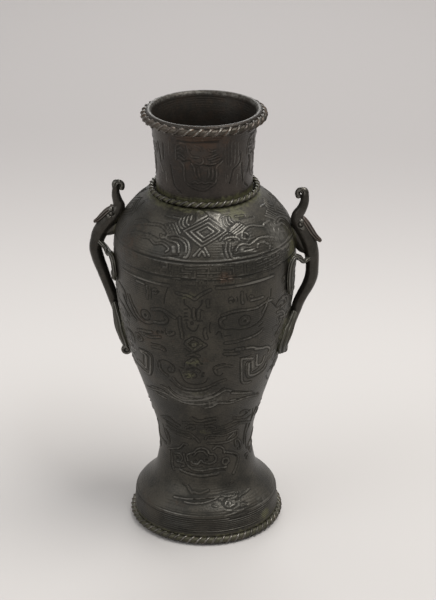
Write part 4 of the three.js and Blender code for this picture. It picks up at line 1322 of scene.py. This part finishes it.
DIMPLES = [(-24.5, 135.3), (-21.7, 135.5), (-23, 160.3), (24.6, 156.7), (-3.9, 116.2), (1.3, 116.6), (4.2, 117.5),
           (4.7, 108.7), (5.3, 110.7), (26.7, 188.9), (38.4, 189.2), (-30.1, 45.2), (31.7, 44.5), (-5.9, 45.9),
           (7.7, 46.6)]
FOOT_SWAGS = [
    [(-19.3, 33.3), (-15, 30.9), (-11, 28.6), (-7.4, 26.9)],
    [(-6.7, 27.9), (-1.3, 27.4), (3.9, 27.9), (9.2, 29)],
    [(-25.2, 24.3), (-14.3, 24.5), (-5.9, 24.8), (2.4, 25.2), (10.8, 25.6), (19.3, 25.8), (26.3, 25.8), (35.1, 25.2),
     (40.9, 25.8)],
    [(-13.6, 23.3), (-6.1, 23.1), (-0.6, 23.3), (5, 23.6), (10.6, 24.3), (15.6, 24.9), (17.9, 25.4)],
    [(39.7, 22.9), (41.2, 24.2), (46.7, 24.6), (56.2, 25.4)],
    [(33.4, 32.6), (38, 35.1)],
    [(-34.3, 16.3), (-30.8, 16.4), (-27.2, 16.1)],
    [(-31.5, 17.6), (-26.5, 17.8), (-20, 17.7), (-13.9, 17.6), (-7.4, 17.8), (0.3, 18.1), (6.5, 17.9)],
    [(8.6, 18.5), (17.1, 18.8), (21.5, 18.9), (28.4, 19.2), (35.6, 19.3), (43.5, 18.7), (51.5, 18.2), (57.3, 18.2)],
]

FOOT_CURLS = [
    [(24.4, 22), (25.4, 23.1), (28, 23.2), (29.5, 22.3), (27.7, 22)],
    [(27.9, 21), (30.3, 21.5), (32.7, 21.5)],
    [(22.8, 25.9), (27.9, 25.3), (33.2, 25.1), (36.4, 24.4)],
    [(31.6, 24.2), (35.1, 24), (38.5, 24.6)],
    [(21.6, 16.6), (26.9, 17.4), (33.9, 18), (39.7, 18.3)],
    [(24.8, 19.7), (28.5, 19.4)],
    [(12.7, 22.3), (16.5, 21.8)],
    [(35.2, 20.6), (37, 20.5)],
    [(40.5, 20.9), (42.5, 20.2)],
    [(44.6, 19.7), (46.6, 19.7)],
    [(27.1, 15.9), (34.6, 15.9), (41.2, 16.3)],
    [(30.3, 32.5), (32.3, 29.9)],
]
FOOT_RINGS = [
    [(27.4, 24.5), (23.8, 23.9), (22.4, 22.5), (23.8, 20.8), (28.1, 20.1), (32.5, 20.7), (35, 21.6)],
    [(35.3, 23.1), (37.6, 23.1), (39.4, 23.5)],
    [(18.7, 24.1), (21, 23.6), (21.4, 22.4)],
    [(-5.7, 24.3), (2.5, 24.6), (10.7, 25.1)],
    [(39.2, 21.4), (42.8, 21.3), (45, 20.7)],
]

# Spots of a tone: angle, height, width in degrees (0 for all the way round), height in millimetres, strength
# In these tables the sheen spots are painted highlights, the soot spots painted shade, and the wear spots lighten
# rubbed ridges, some of them raised to paint highlights.
BODY_TONES = {
    "wear_and_highlight": [(12, 195, 24, 9, 0.8), (0, 184, 30, 8, 0.5), (40, 186, 25, 12, 0.4), (10, 174, 45, 6, 0.3),
             (40, 165, 14, 3, 0.8), (-34, 165, 12, 3, 0.6), (48, 118, 16, 16, 0.7), (46, 150, 18, 12, 0.35),
             (72, 132, 14, 30, 0.35), (-76, 132, 14, 30, 0.4), (-50, 112, 16, 12, 0.75), (-34, 140, 16, 14, 0.2),
             (0, 50, 50, 16, 0.25), (10, 140, 55, 26, 0.06), (192, 190, 24, 12, 0.6)],
    # Painted highlights on the shoulder, the belly, the column and the back.
    "painted_sheen": [(66, 186, 16, 13, 0.68), (0, 91, 50, 9, 0.58), (20, 197.5, 9, 4, 0.85), (33, 192, 8, 4, 0.45),
              (-5, 183, 7, 3, 0.5), (17, 182, 8, 3, 0.5), (44, 112, 8, 8, 0.35), (38, 60, 6, 12, 0.3),
              (196, 194, 10, 5, 0.5)],
    "green": [(0, 202.4, 0, 2.6, 0.72), (2, 138, 24, 34, 0.3), (1, 130, 8, 5, 0.6), (-1, 118, 8, 4, 0.66),
              (-5, 109, 7, 4, 0.62), (0, 95, 14, 3, 0.5), (-2, 160, 9, 3, 0.55), (78, 172, 12, 18, 0.72),
              (-84, 165, 12, 18, 0.6), (76, 122, 13, 18, 0.72), (30, 163, 50, 60, 0.3), (-76, 122, 14, 18, 0.8),
              (38, 200, 16, 4, 0.7), (6, 66, 14, 5, 0.4)],
    # Painted shade on the front of the belly.
    "painted_shade": [(2, 142, 24, 26, 0.34), (0, 158, 30, 9, 0.2)],
    "brown": [(20, 170.5, 8, 4.5, 0.85), (-50, 182, 26, 26, 0.5), (-62, 118, 12, 6, 0.5), (-32, 136, 26, 26, 0.48),
              (6, 120, 10, 8, 0.45), (150, 150, 40, 30, 0.45)],
}
NECK_TONES = {
    # The wear spots on the lip, strongest at its back, paint a highlight along the rim.
    "wear_and_highlight": [(0, 246, 0, 3, 0.42), (178, 246, 34, 3, 0.6), (0, 226, 0, 18, 0.2)],
    # Painted highlights on both sides of the neck.
    "painted_sheen": [(52, 224, 14, 24, 0.3), (-46, 217, 12, 18, 0.3)],
    "green": [(0, 205, 0, 3.5, 0.8), (-70, 207, 20, 5, 0.7)],
    # Painted shade on the front of the neck.
    "painted_shade": [(4, 222, 22, 14, 0.2)],
    "brown": [(3, 242, 44, 9, 0.8), (0, 247, 0, 2.5, 0.6), (0, 228, 64, 15, 0.5), (185, 238, 40, 10, 0.6)],
}
FOOT_TONES = {
    "wear_and_highlight": [(28, 21, 12, 4, 0.22), (-4, 23, 32, 3, 0.42), (-25, 18, 30, 2, 0.5)],
    # Painted highlights on the dome.
    "painted_sheen": [(27, 21, 12, 4, 0.24), (-32, 24, 10, 4, 0.3), (60, 19, 14, 8, 0.5), (200, 22, 14, 4, 0.45)],
    "green": [(0, 5, 0, 1.6, 0.75), (34, 7, 14, 3, 0.4), (62, 9.5, 8, 4, 0.95), (0, 28, 40, 5, 0.3)],
    # Painted shade on the dome's upper slope.
    "painted_shade": [(-4, 26, 30, 6, 0.5)],
    "brown": [(-20, 22, 30, 6, 0.4), (-50, 18, 25, 8, 0.45)],
}

# Spots where the relief is worn down: angle, height, width in degrees, height in millimetres, share taken away
WORN_ON_BODY = [(-62, 182, 34, 22, 0.65), (-52, 175, 26, 8, 0.75), (122, 174, 30, 7, 0.5), (118, 182, 34, 22, 0.5),
                (68, 188, 22, 16, 0.4), (-5, 166, 26, 5, 0.4)]
WORN_ON_FOOT = [(-48, 12, 26, 9, 0.7), (8, 14, 14, 5, 0.5), (80, 12, 20, 9, 0.6), (170, 12, 40, 9, 0.6)]


def front_and_back(draw, lines, *sizes, **kind):
    """The same lines at the front and, half a turn on, at the back."""
    for turn in (0, 180):
        for line in lines:
            draw([(a + turn, z) for a, z in line], *sizes, **kind)


def nested(corners, shares):
    """A closed shape again and again, smaller towards its middle."""
    a0 = sum(a for a, _ in corners) / len(corners)
    z0 = sum(z for _, z in corners) / len(corners)
    return [[(a0 + (a - a0) * share, z0 + (z - z0) * share) for a, z in corners] for share in shares]


def rounds(places, wide, tall):
    """A small oval round each place, wide in degrees and tall in millimetres."""
    steps = [2 * math.pi * i / 12 for i in range(12)]
    return [[(a + wide * math.cos(t), z + tall * math.sin(t)) for t in steps] for a, z in places]


def girdle(surface, height, width, rise):
    """A line all the way round."""
    surface.line([(a, height) for a in range(0, 361, 5)], width, rise, curved=False)


def threads(surface, lines, width, rise, **kind):
    """Raised threads with a shallow furrow on either side, at the front and at the back."""
    front_and_back(surface.line, lines, width * 2.2, -0.35 * rise, **kind)
    front_and_back(surface.line, lines, width, rise, **kind)


def furrows(surface, lines, width, rise):
    """Sunk lines, at the front and at the back."""
    front_and_back(surface.line, lines, width, -rise)


def with_sides(lines, reach=27):
    """The lines, and the narrow middle motifs again a quarter turn on, where the handles stand."""
    return lines + [[(a + 90, z) for a, z in line] for line in lines if max(abs(a) for a, _ in line) < reach]


FRET_UNITS = 46


def fret(surface, low, high, width, rise):
    """A band of square spirals that hook into each other."""
    hook = [(0.0, 0.0), (0.0, 1.0), (0.78, 1.0), (0.78, 0.2), (0.24, 0.2), (0.24, 0.62), (0.54, 0.62)]
    wide = 360 / FRET_UNITS
    for unit in range(FRET_UNITS):
        flip = unit % 2
        places = [((unit + 0.1 + u) * wide, high - (high - low) * v if flip else low + (high - low) * v)
                  for u, v in hook]
        surface.line(places, width, rise, curved=False)


def wear_down(surface, spots):
    """Takes the relief down where the casting is weak or hands have smoothed it."""
    for place in spots:
        surface.height *= 1 - spot(surface, *place)


def fine_arcs(surface, width, rise):
    """Close rows of fine lines that follow the band round to the handles, and key bars under the band."""
    rows = [[(a, z + 0.0016 * (a - 34) ** 2) for a in range(33 + int(z) % 3 * 3, 66, 4)]
            for z in np.arange(166.6, 186, 1.45)]
    rows += [[(a, z) for a in range(-64 + int(z) % 4 * 2, -37, 4)] for z in np.arange(181.5, 192, 1.6)]
    front_and_back(surface.line, rows, width, 0.5 * rise)
    front_and_back(surface.line, rows, 0.5, -0.2 * rise)
    bars = []
    for a in range(-20, 21, 8):
        bars.append([(a, 168.9), (a, 167.2), (a + 4.8, 167.2), (a + 4.8, 168.9)])
        bars.append([(a + 1.9, 168.6), (a + 1.9, 168.1), (a + 2.9, 168.1)])
    threads(surface, bars, width, 0.7 * rise, curved=False)


def side_curls(surface, width, rise):
    """Small hooked scrolls that fill the ground beside the handles."""
    hooks = []
    for row, height in enumerate(np.arange(102.0, 162.0, 4.9)):
        for a in (-86, -80, -74, -68, 66, 72, 78, 84) + ((-62, -56, 60) if 108 < height < 137 else ()):
            centre, start = a + 3 * (row % 2), math.radians(77 * row + 41 * a)
            hooks.append([(centre + 2.1 * math.cos(start + t), height + 1.6 * math.sin(start + t))
                          for t in np.linspace(0, 4.3, 7)])
    front_and_back(surface.line, hooks, width, rise)
    front_and_back(surface.line, [hook[:3] for hook in hooks[::2]], 1.6 * width, -0.5 * rise)


def chase_body(surface, sizes):
    """Diamond and scrolls on the shoulder, key-fret band, beast mask, and the clouds of the column."""
    width, rise = sizes.line_width / MM, sizes.line_height / MM
    for lines in (SHOULDER_FURROWS, MASK_FURROWS, COLUMN_FURROWS):
        furrows(surface, with_sides(lines), 0.85 * width, 0.85 * rise)
    side_curls(surface, 0.8 * width, 0.6 * rise)
    front_and_back(surface.pad, SHOULDER_FIELDS, rise, 0.9)
    front_and_back(surface.pad, SHOULDER_PEBBLES, 0.8 * rise, 1.6)
    for lines, bold, high in ((SHOULDER_THREADS, 1.0, 1.0), (MASK_THREADS, 1.1, 0.8), (COLUMN_THREADS, 1.0, 0.9)):
        furrows(surface, with_sides(lines), 2.3 * bold * width, 0.45 * rise)
        threads(surface, with_sides(lines), bold * width, high * rise)
    threads(surface, with_sides(nested(SHOULDER_DIAMOND, (1.0, 0.7, 0.4))), width, rise, curved=False, closed=True)
    furrows(surface, rounds(MASK_PUPILS, 4.2, 3.2), 0.9 * width, 0.9 * rise)
    threads(surface, rounds(MASK_PUPILS, 1.9, 1.4), 0.9 * width, rise, closed=True)
    furrows(surface, rounds(DIMPLES, 0.6, 0.4), 1.1 * width, rise)
    for height in (179.2, 170.1):
        girdle(surface, height, 2.2 * width, -0.8 * rise)
    for height in (180.2, 178.2, 171.0):
        girdle(surface, height, 0.8 * width, 0.9 * rise)
    threads(surface, [[(a, 164.9 + abs(a) * 0.012) for a in range(x, x + 41, 5)] for x in (-55, 14)], 1.1 * width, rise)
    fret(surface, 174.6, 177.4, 0.7 * width, 0.56 * rise)
    fret(surface, 171.6, 174.0, 0.7 * width, 0.52 * rise)
    threads(surface, BAND_DASHES, 0.7 * width, 0.62 * rise, curved=False)
    fine_arcs(surface, 0.65 * width, rise)
    wear_down(surface, WORN_ON_BODY)


def chase_neck(surface, sizes):
    """The blade ornament and its ribs."""
    width, rise = sizes.line_width / MM, sizes.line_height / MM
    furrows(surface, with_sides(NECK_FURROWS, 35), 1.1 * width, 0.7 * rise)
    threads(surface, with_sides(NECK_THREADS, 35), 0.95 * width, 0.6 * rise)
    threads(surface, NECK_RIBS, 0.75 * width, 0.4 * rise)


def chase_foot(surface, sizes):
    """Scrolls and rings on the dome, turned lines on the skirt."""
    width, rise = sizes.line_width / MM, sizes.line_height / MM
    threads(surface, FOOT_SWAGS, width, 0.8 * rise)
    furrows(surface, FOOT_RINGS, width, 0.7 * rise)
    for height in (19.2, 18.0):
        girdle(surface, height, 1.6 * width, -0.3 * rise)
        girdle(surface, height - 0.5, 0.8 * width, 0.5 * rise)
    for step in range(8):
        girdle(surface, 7.4 + 1.2 * step, 0.75, -0.7 * rise)
        girdle(surface, 8.0 + 1.2 * step, 0.65, 0.6 * rise)
    wear_down(surface, WORN_ON_FOOT)
    threads(surface, FOOT_CURLS, width, 0.6 * rise)


# Twisted rings

# How much thicker than in the CAD model, how much higher in millimetres, how far filled with solder
RING_SHAPES = {"lip_rope": (1.36, 0.2, 0.72), "collar_rope": (1.08, 0.0, 0.66), "foot_rope": (1.15, 0.25, 0.78)}
ROPE_PATINAS = {
    "lip_rope": {"green": 0.1, "brown": 0.85, "dark": (0.034, 0.0275, 0.0225), "light": (0.074, 0.060, 0.050)},
    "collar_rope": {"green": 0.6, "brown": 0.2},
    "foot_rope": {"green": 0.35, "brown": 0.5, "dark": (0.030, 0.027, 0.021), "light": (0.064, 0.058, 0.046)},
}


def twisted_ring(name, ring_radius, height, wire, crossings, bed):
    """Two strands laid round each other, each a twist of finer wires, in a bed of solder; the bed and the strands'
    inner sides are darkened with dirt and painted shade.

    bed is how far the solder fills the twist, as a share of its radius."""
    sections = crossings * 12
    sides = 16
    a = np.arange(sections)[:, None] / sections * 2 * math.pi
    ring = np.arange(sides)[None, :] / sides * 2 * math.pi
    points, faces, fields = [], [], {"ridge": [], "hollow_and_shade": [], "green": [], "brown": []}

    def wrap(out, up, *tones):
        start = sum(len(p) for p in points)
        points.append(np.stack([out * np.sin(a), -out * np.cos(a), up + 0 * a], -1).reshape(-1, 3))
        i, j = np.meshgrid(np.arange(sections), np.arange(sides), indexing="ij")
        ni, nj = (i + 1) % sections, (j + 1) % sides
        quads = np.stack([i * sides + j, ni * sides + j, ni * sides + nj, i * sides + nj], -1)
        faces.append(quads.reshape(-1, 4) + start)
        for field, values in zip(fields.values(), tones):
            field.append(np.broadcast_to(values, (sections, sides)).ravel())

    worn = 0.5 + 0.5 * np.cos(3 * a + 0.7) * np.cos(7 * a)
    for strand in range(2):
        phase = a * crossings / 2 + strand * math.pi
        local = ring + phase
        fine = np.abs(np.cos(2.0 * (ring + 0.75 * phase)))
        thick = wire * 0.53 * (0.88 + 0.12 * fine)
        out = ring_radius + 0.47 * wire * np.cos(phase) + thick * np.cos(local)
        up = height + 0.47 * wire * np.sin(phase) + thick * np.sin(local)
        far = np.hypot(out - ring_radius, up - height) / wire
        wrap(out, up, np.clip((far - 0.80) / 0.15, 0, 1) * (0.35 + 0.65 * worn), np.clip((0.80 - far) / 0.2, 0, 1),
             np.clip((0.86 - far) / 0.3, 0, 1) * (1 - 0.6 * worn), np.clip(worn, 0, 1))
    wrap(ring_radius + bed * wire * np.cos(ring) + 0 * a, height + bed * wire * np.sin(ring), 0.0, 0.5, 0.9, 0.3)
    piece = new_piece(name, np.vstack(points), np.vstack(faces))
    outward(piece)
    for label, values in fields.items():
        carry(piece, label, np.concatenate(values))
    return piece


# Handles

BEAST_PATINAS = {
    "handle": {"dark": (0.026, 0.024, 0.020), "light": (0.052, 0.047, 0.040), "roughness": 0.30, "metallic": 0.7,
               "green": 0.5, "brown": 0.3, "rub_and_highlight": 0.75},
    "strap": {"dark": (0.031, 0.030, 0.023), "light": (0.057, 0.053, 0.039), "roughness": 0.36, "metallic": 0.6,
              "green": 0.75, "brown": 0.3, "rub_and_highlight": 0.8},
    "crest": {"dark": (0.038, 0.025, 0.019), "light": (0.076, 0.048, 0.035), "roughness": 0.50, "metallic": 0.35,
              "green": 0.0, "brown": 0.75, "rub_and_highlight": 0.5},
}
BELLY_RADIUS = 51.7
BELLY_HEIGHT = 164.0
# In millimetres: each station is out from the belly's radius, up from its height, half thickness, half width;
# a leg's station is the arc round the belly, distance off it, height, half width
BEASTS = {
    "left": {
        "sign": -1,
        "main": [[-3.8, 40.5, 1.9, 1.8], [-1.9, 40, 1.95, 1.9], [-2, 36.9, 1.95, 1.9], [-2, 33.4, 2.35, 2.2],
                 [-2.9, 29.6, 2.8, 2.5], [-3.7, 26.6, 3.3, 3], [-1.9, 22.8, 4.2, 4], [2.7, 17.8, 4.5, 4.3],
                 [7.4, 10.8, 4.3, 4.2], [9.4, 5.2, 3.9, 3.9], [10.3, 0.6, 3.6, 3.6], [9, -5.6, 3.5, 3.5],
                 [7, -11.6, 3.3, 3.4], [4.9, -17.8, 3.1, 3.3], [2.6, -24.2, 3.1, 3.2], [0.6, -30.5, 3, 3.1],
                 [-1, -37, 2.4, 3], [-2.6, -42.6, 1.7, 2.8], [-3.5, -48.1, 1.85, 2.6], [-4.6, -53, 1.9, 2.5],
                 [-5.7, -57.5, 1.8, 2.4]],
        "curl": [[-5.5, 37.5, 1.45, 1.4], [-5.6, 38.9, 1.55, 1.5], [-4.9, 40.1, 1.7, 1.6], [-3.6, 40.5, 1.85, 1.8]],
        "breast": [[-1.5, 14, 3.6, 3.2], [2, 12.4, 3.4, 3.2], [6, 11.4, 3, 3]],
        "eye": (0.2, 23.6, 3.6),
        "crest": [[-0.6, 25.6, 1.8, 2.6], [2.6, 23.4, 2.1, 3.4], [5.2, 20.8, 2.1, 3.4], [8, 18.3, 1.55, 2.8],
                  [10.2, 16.9, 0.95, 1.9]],
        "foreleg": [[1.6, 8, 6, 2.3], [4.6, 4.4, 3.6, 2.3], [9, 2.5, 2.6, 2.3], [14.4, 1.4, 2.6, 2.4],
                    [19.0, 1.0, 0.6, 2.6], [20.4, 0.9, -4, 2.9], [19.4, 1.0, -8.6, 2.6]],
        "hind_leg": [[4.6, 2.6, -31.5, 2.2], [9.2, 2.2, -37, 3.0], [14.0, 1.9, -42.5, 3.4], [15.4, 1.8, -48, 3.4],
                     [12.8, 1.7, -53.6, 2.8]],
        "scroll": (-6.2, -61.2, 3.0),
    },
    "right": {
        "sign": 1,
        "main": [[2.5, 40.2, 1.9, 1.8], [3.9, 39.6, 1.95, 1.9], [4.1, 36.4, 2.2, 2], [3.6, 32.6, 2.5, 2.3],
                 [2.1, 28.8, 2.8, 2.5], [0.2, 25.4, 3.3, 3], [0.6, 21.6, 4.2, 4], [4, 15.6, 4.5, 4.3],
                 [6.8, 8.6, 4.4, 4.2], [8.3, 2.4, 4, 3.9], [8.7, -4, 3.6, 3.6], [8.3, -10.6, 3.6, 3.5],
                 [6.4, -16.4, 3.4, 3.4], [3.9, -21.4, 3.2, 3.3], [1.6, -26.4, 3.1, 3.2], [0, -31.5, 2.9, 3.1],
                 [-1.5, -38, 2.1, 3], [-2.6, -43, 1.6, 2.8], [-4, -48.5, 1.6, 2.6], [-5.4, -52.6, 1.5, 2.4],
                 [-6.2, -55.4, 1.4, 2.4]],
        "curl": [[0.3, 36.7, 1.45, 1.4], [0, 38.4, 1.55, 1.5], [0.9, 39.8, 1.7, 1.6], [2.5, 40.2, 1.85, 1.8]],
        "breast": [[-1.6, 16.5, 3.2, 3.2], [0.6, 11.5, 3.8, 3.4], [2.8, 7.2, 3.5, 3.2], [5.6, 5.4, 3, 3]],
        "eye": (1.9, 21.4, 3.6),
        "crest": [[3.1, 23.2, 1.8, 2.6], [5.2, 20.2, 2.1, 3.4], [7.6, 16.3, 2.1, 3.4], [10.2, 13.0, 1.6, 2.8],
                  [12.8, 10.9, 1.05, 1.9]],
        "foreleg": [[2, 7.6, 1, 1.6], [5.6, 4.6, 0.6, 1.7], [9.4, 3.4, 4, 1.9], [13.4, 2.2, 5.6, 2.2],
                    [16.6, 1.2, 2, 2.9], [17, 0.9, -6, 3.2], [15, 1.0, -14.2, 3.0]],
        "hind_leg": [[4.6, 2.4, -32, 2.2], [9.2, 2.2, -37, 3.0], [14.0, 2.0, -42, 3.5], [15.4, 1.9, -47.5, 3.5],
                     [12.6, 1.8, -53.1, 2.8]],
        "scroll": (-6.5, -56.1, 2.1),
    },
}


def solid_arrays(work, centre):
    """Points about a centre and faces of a solid made in bmesh, which is freed."""
    points = np.array([v.co[:] for v in work.verts]) + np.array(centre)
    faces = [[v.index for v in f.verts] for f in work.faces]
    work.free()
    return points, faces


def ball(centre, radius):
    """A small sphere, for eyes and cheeks."""
    work = bmesh.new()
    bmesh.ops.create_uvsphere(work, u_segments=16, v_segments=12, radius=radius)
    return solid_arrays(work, centre)


def drum(centre, radius, half):
    """A short round bar that lies from front to back, for the rolled end of a tail."""
    work = bmesh.new()
    bmesh.ops.create_cone(work, cap_ends=True, segments=32, radius1=radius, radius2=radius, depth=2 * half)
    bmesh.ops.rotate(work, verts=work.verts, matrix=Matrix.Rotation(math.pi / 2, 3, "X"))
    return solid_arrays(work, centre)


def turns(centre, face, first, last, growth):
    """A spiral that widens from one angle to the other, in radians, on a plane in front of the centre."""
    return [np.array(centre) + np.array((growth * t * math.cos(t), face, growth * t * math.sin(t)))
            for t in np.linspace(first, last, 24)]


def build_beast(side, beast, grid, patinas):
    """One handle with its crest and its two straps, each made, marked and dressed."""
    sign = beast["sign"]

    def flat(rows):
        return [((sign * (BELLY_RADIUS + out), 0.0, BELLY_HEIGHT + up), thick, wide) for out, up, thick, wide in rows]

    def leg(rows, thick):
        stations = []
        for arc, off, up, wide in rows:
            turn = arc / BELLY_RADIUS
            radius = outside_at(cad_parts["body"], (BELLY_HEIGHT + up) * MM) / MM + off
            place = (sign * radius * math.cos(turn), -radius * math.sin(turn), BELLY_HEIGHT + up)
            stations.append((place, thick, wide))
        return stations

    def round_the_body(lean=0.0):
        """The way a strap is wide: round the body, its rear edge lifted off by that many radians."""
        def across(centre):
            x, y = centre[0] * math.sin(lean) * sign, centre[1] * math.sin(lean) * sign
            return (x - centre[1] * math.cos(lean), y + centre[0] * math.cos(lean), 0.0)
        return across

    out, up, half = beast["eye"]
    eye_x, eye_z = sign * (BELLY_RADIUS + out), BELLY_HEIGHT + up
    scroll_out, scroll_up, scroll_radius = beast["scroll"]
    scroll_at = (sign * (BELLY_RADIUS + scroll_out), 0.0, BELLY_HEIGHT + scroll_up)
    parts = [limb_mesh(flat(beast[limb])) for limb in ("main", "curl", "breast")]
    parts.append(drum(scroll_at, scroll_radius, 2.3))
    for face in (-1, 1):
        parts += [ball((eye_x, face * half, eye_z), 1.2), ball((eye_x + sign * 1.2, face * 2.0, eye_z - 2.6), 2.5),
                  ball((eye_x + sign * 0.4, face * 2.6, eye_z + 1.5), 1.5),
                  ball((eye_x - sign * 1.2, face * 2.4, eye_z - 1.2), 1.7)]
    handle = fused(side + "_handle_skin", parts, grid, 3, 0.08)
    middle = np.mean([flat([row])[0][0] for row in beast["curl"] + [beast["main"][1]]], axis=0)
    pits = [([middle + (0, -3, 0), middle + (0, 3, 0)], 2.2, -1.2)]
    for face in (-1, 1):
        eye = (eye_x, face * (half + 0.6), eye_z)
        pits.append((turns(eye, 0.0, 6.3, 12.6, 0.14), 0.9, -0.35))
        pits.append((turns(scroll_at, face * 2.4, 2, 9, 0.3), 1.0, -0.5))
        pits.append((turns(middle, face * 1.9, 3, 9.5, 0.26), 0.8, -0.3))
    chase_lines(handle, pits)
    skin_tones(handle, 14, 0.09)
    dress(handle, side + "_handle", patinas["handle"])
    points, faces = limb_mesh(flat(beast["crest"]), sides=72, steps=12, ridges=8, ridge_depth=0.3)
    crest = new_piece(side + "_crest_combed", points * MM, faces)
    outward(crest)
    skin_tones(crest, 10, 0.06)
    dress(crest, side + "_crest", patinas["crest"])
    for name, thick, lean in (("foreleg", 1.4, 0.0), ("hind_leg", 1.3, 0.5)):
        meshes = [limb_mesh(leg(beast[name], thick), sides=72, steps=10, across=round_the_body(lean), ridges=6,
                            ridge_depth=0.38)]
        if name == "foreleg":
            arc, off, up, wide = beast[name][-1]
            for spread in (-1.9, 0.0, 1.9):
                toe = [[arc + 0.3 * spread, off, up + 4.5, 0.9], [arc + 0.8 * spread, off + 0.5, up + 2.2, 1.0],
                       [arc + spread, off, up - 0.2, 0.8]]
                meshes.append(limb_mesh(leg(toe, 1.0), sides=16, steps=6, across=round_the_body()))
        strap = fused(f"{side}_{name}_strap", meshes, spacing(0.24 * MM), 1)
        skin_tones(strap, 10, 0.06)
        dress(strap, f"{side}_{name}", patinas["strap"])


STEPS = (VASE_OT_stage, VASE_OT_body, VASE_OT_neck, VASE_OT_foot, VASE_OT_rings, VASE_OT_handles, VASE_OT_plain_parts)
CLASSES = (VaseShellSettings, VaseRingSettings, VaseHandleSettings, VaseFinishSettings, VaseStageSettings, *STEPS,
           VASE_PT_panel)


def register():
    for cls in CLASSES:
        bpy.utils.register_class(cls)
    bpy.types.Scene.vase_shells = PointerProperty(type=VaseShellSettings)
    bpy.types.Scene.vase_rings = PointerProperty(type=VaseRingSettings)
    bpy.types.Scene.vase_handles = PointerProperty(type=VaseHandleSettings)
    bpy.types.Scene.vase_finish = PointerProperty(type=VaseFinishSettings)
    bpy.types.Scene.vase_stage = PointerProperty(type=VaseStageSettings)


def unregister():
    for name in ("vase_stage", "vase_finish", "vase_handles", "vase_rings", "vase_shells"):
        delattr(bpy.types.Scene, name)
    for cls in reversed(CLASSES):
        bpy.utils.unregister_class(cls)


def main():
    register()
    bpy.ops.vase.stage()
    bpy.ops.vase.body()
    bpy.ops.vase.neck()
    bpy.ops.vase.foot()
    bpy.ops.vase.rings()
    bpy.ops.vase.handles()
    bpy.ops.vase.plain_parts()


if __name__ == "__main__":
    main()
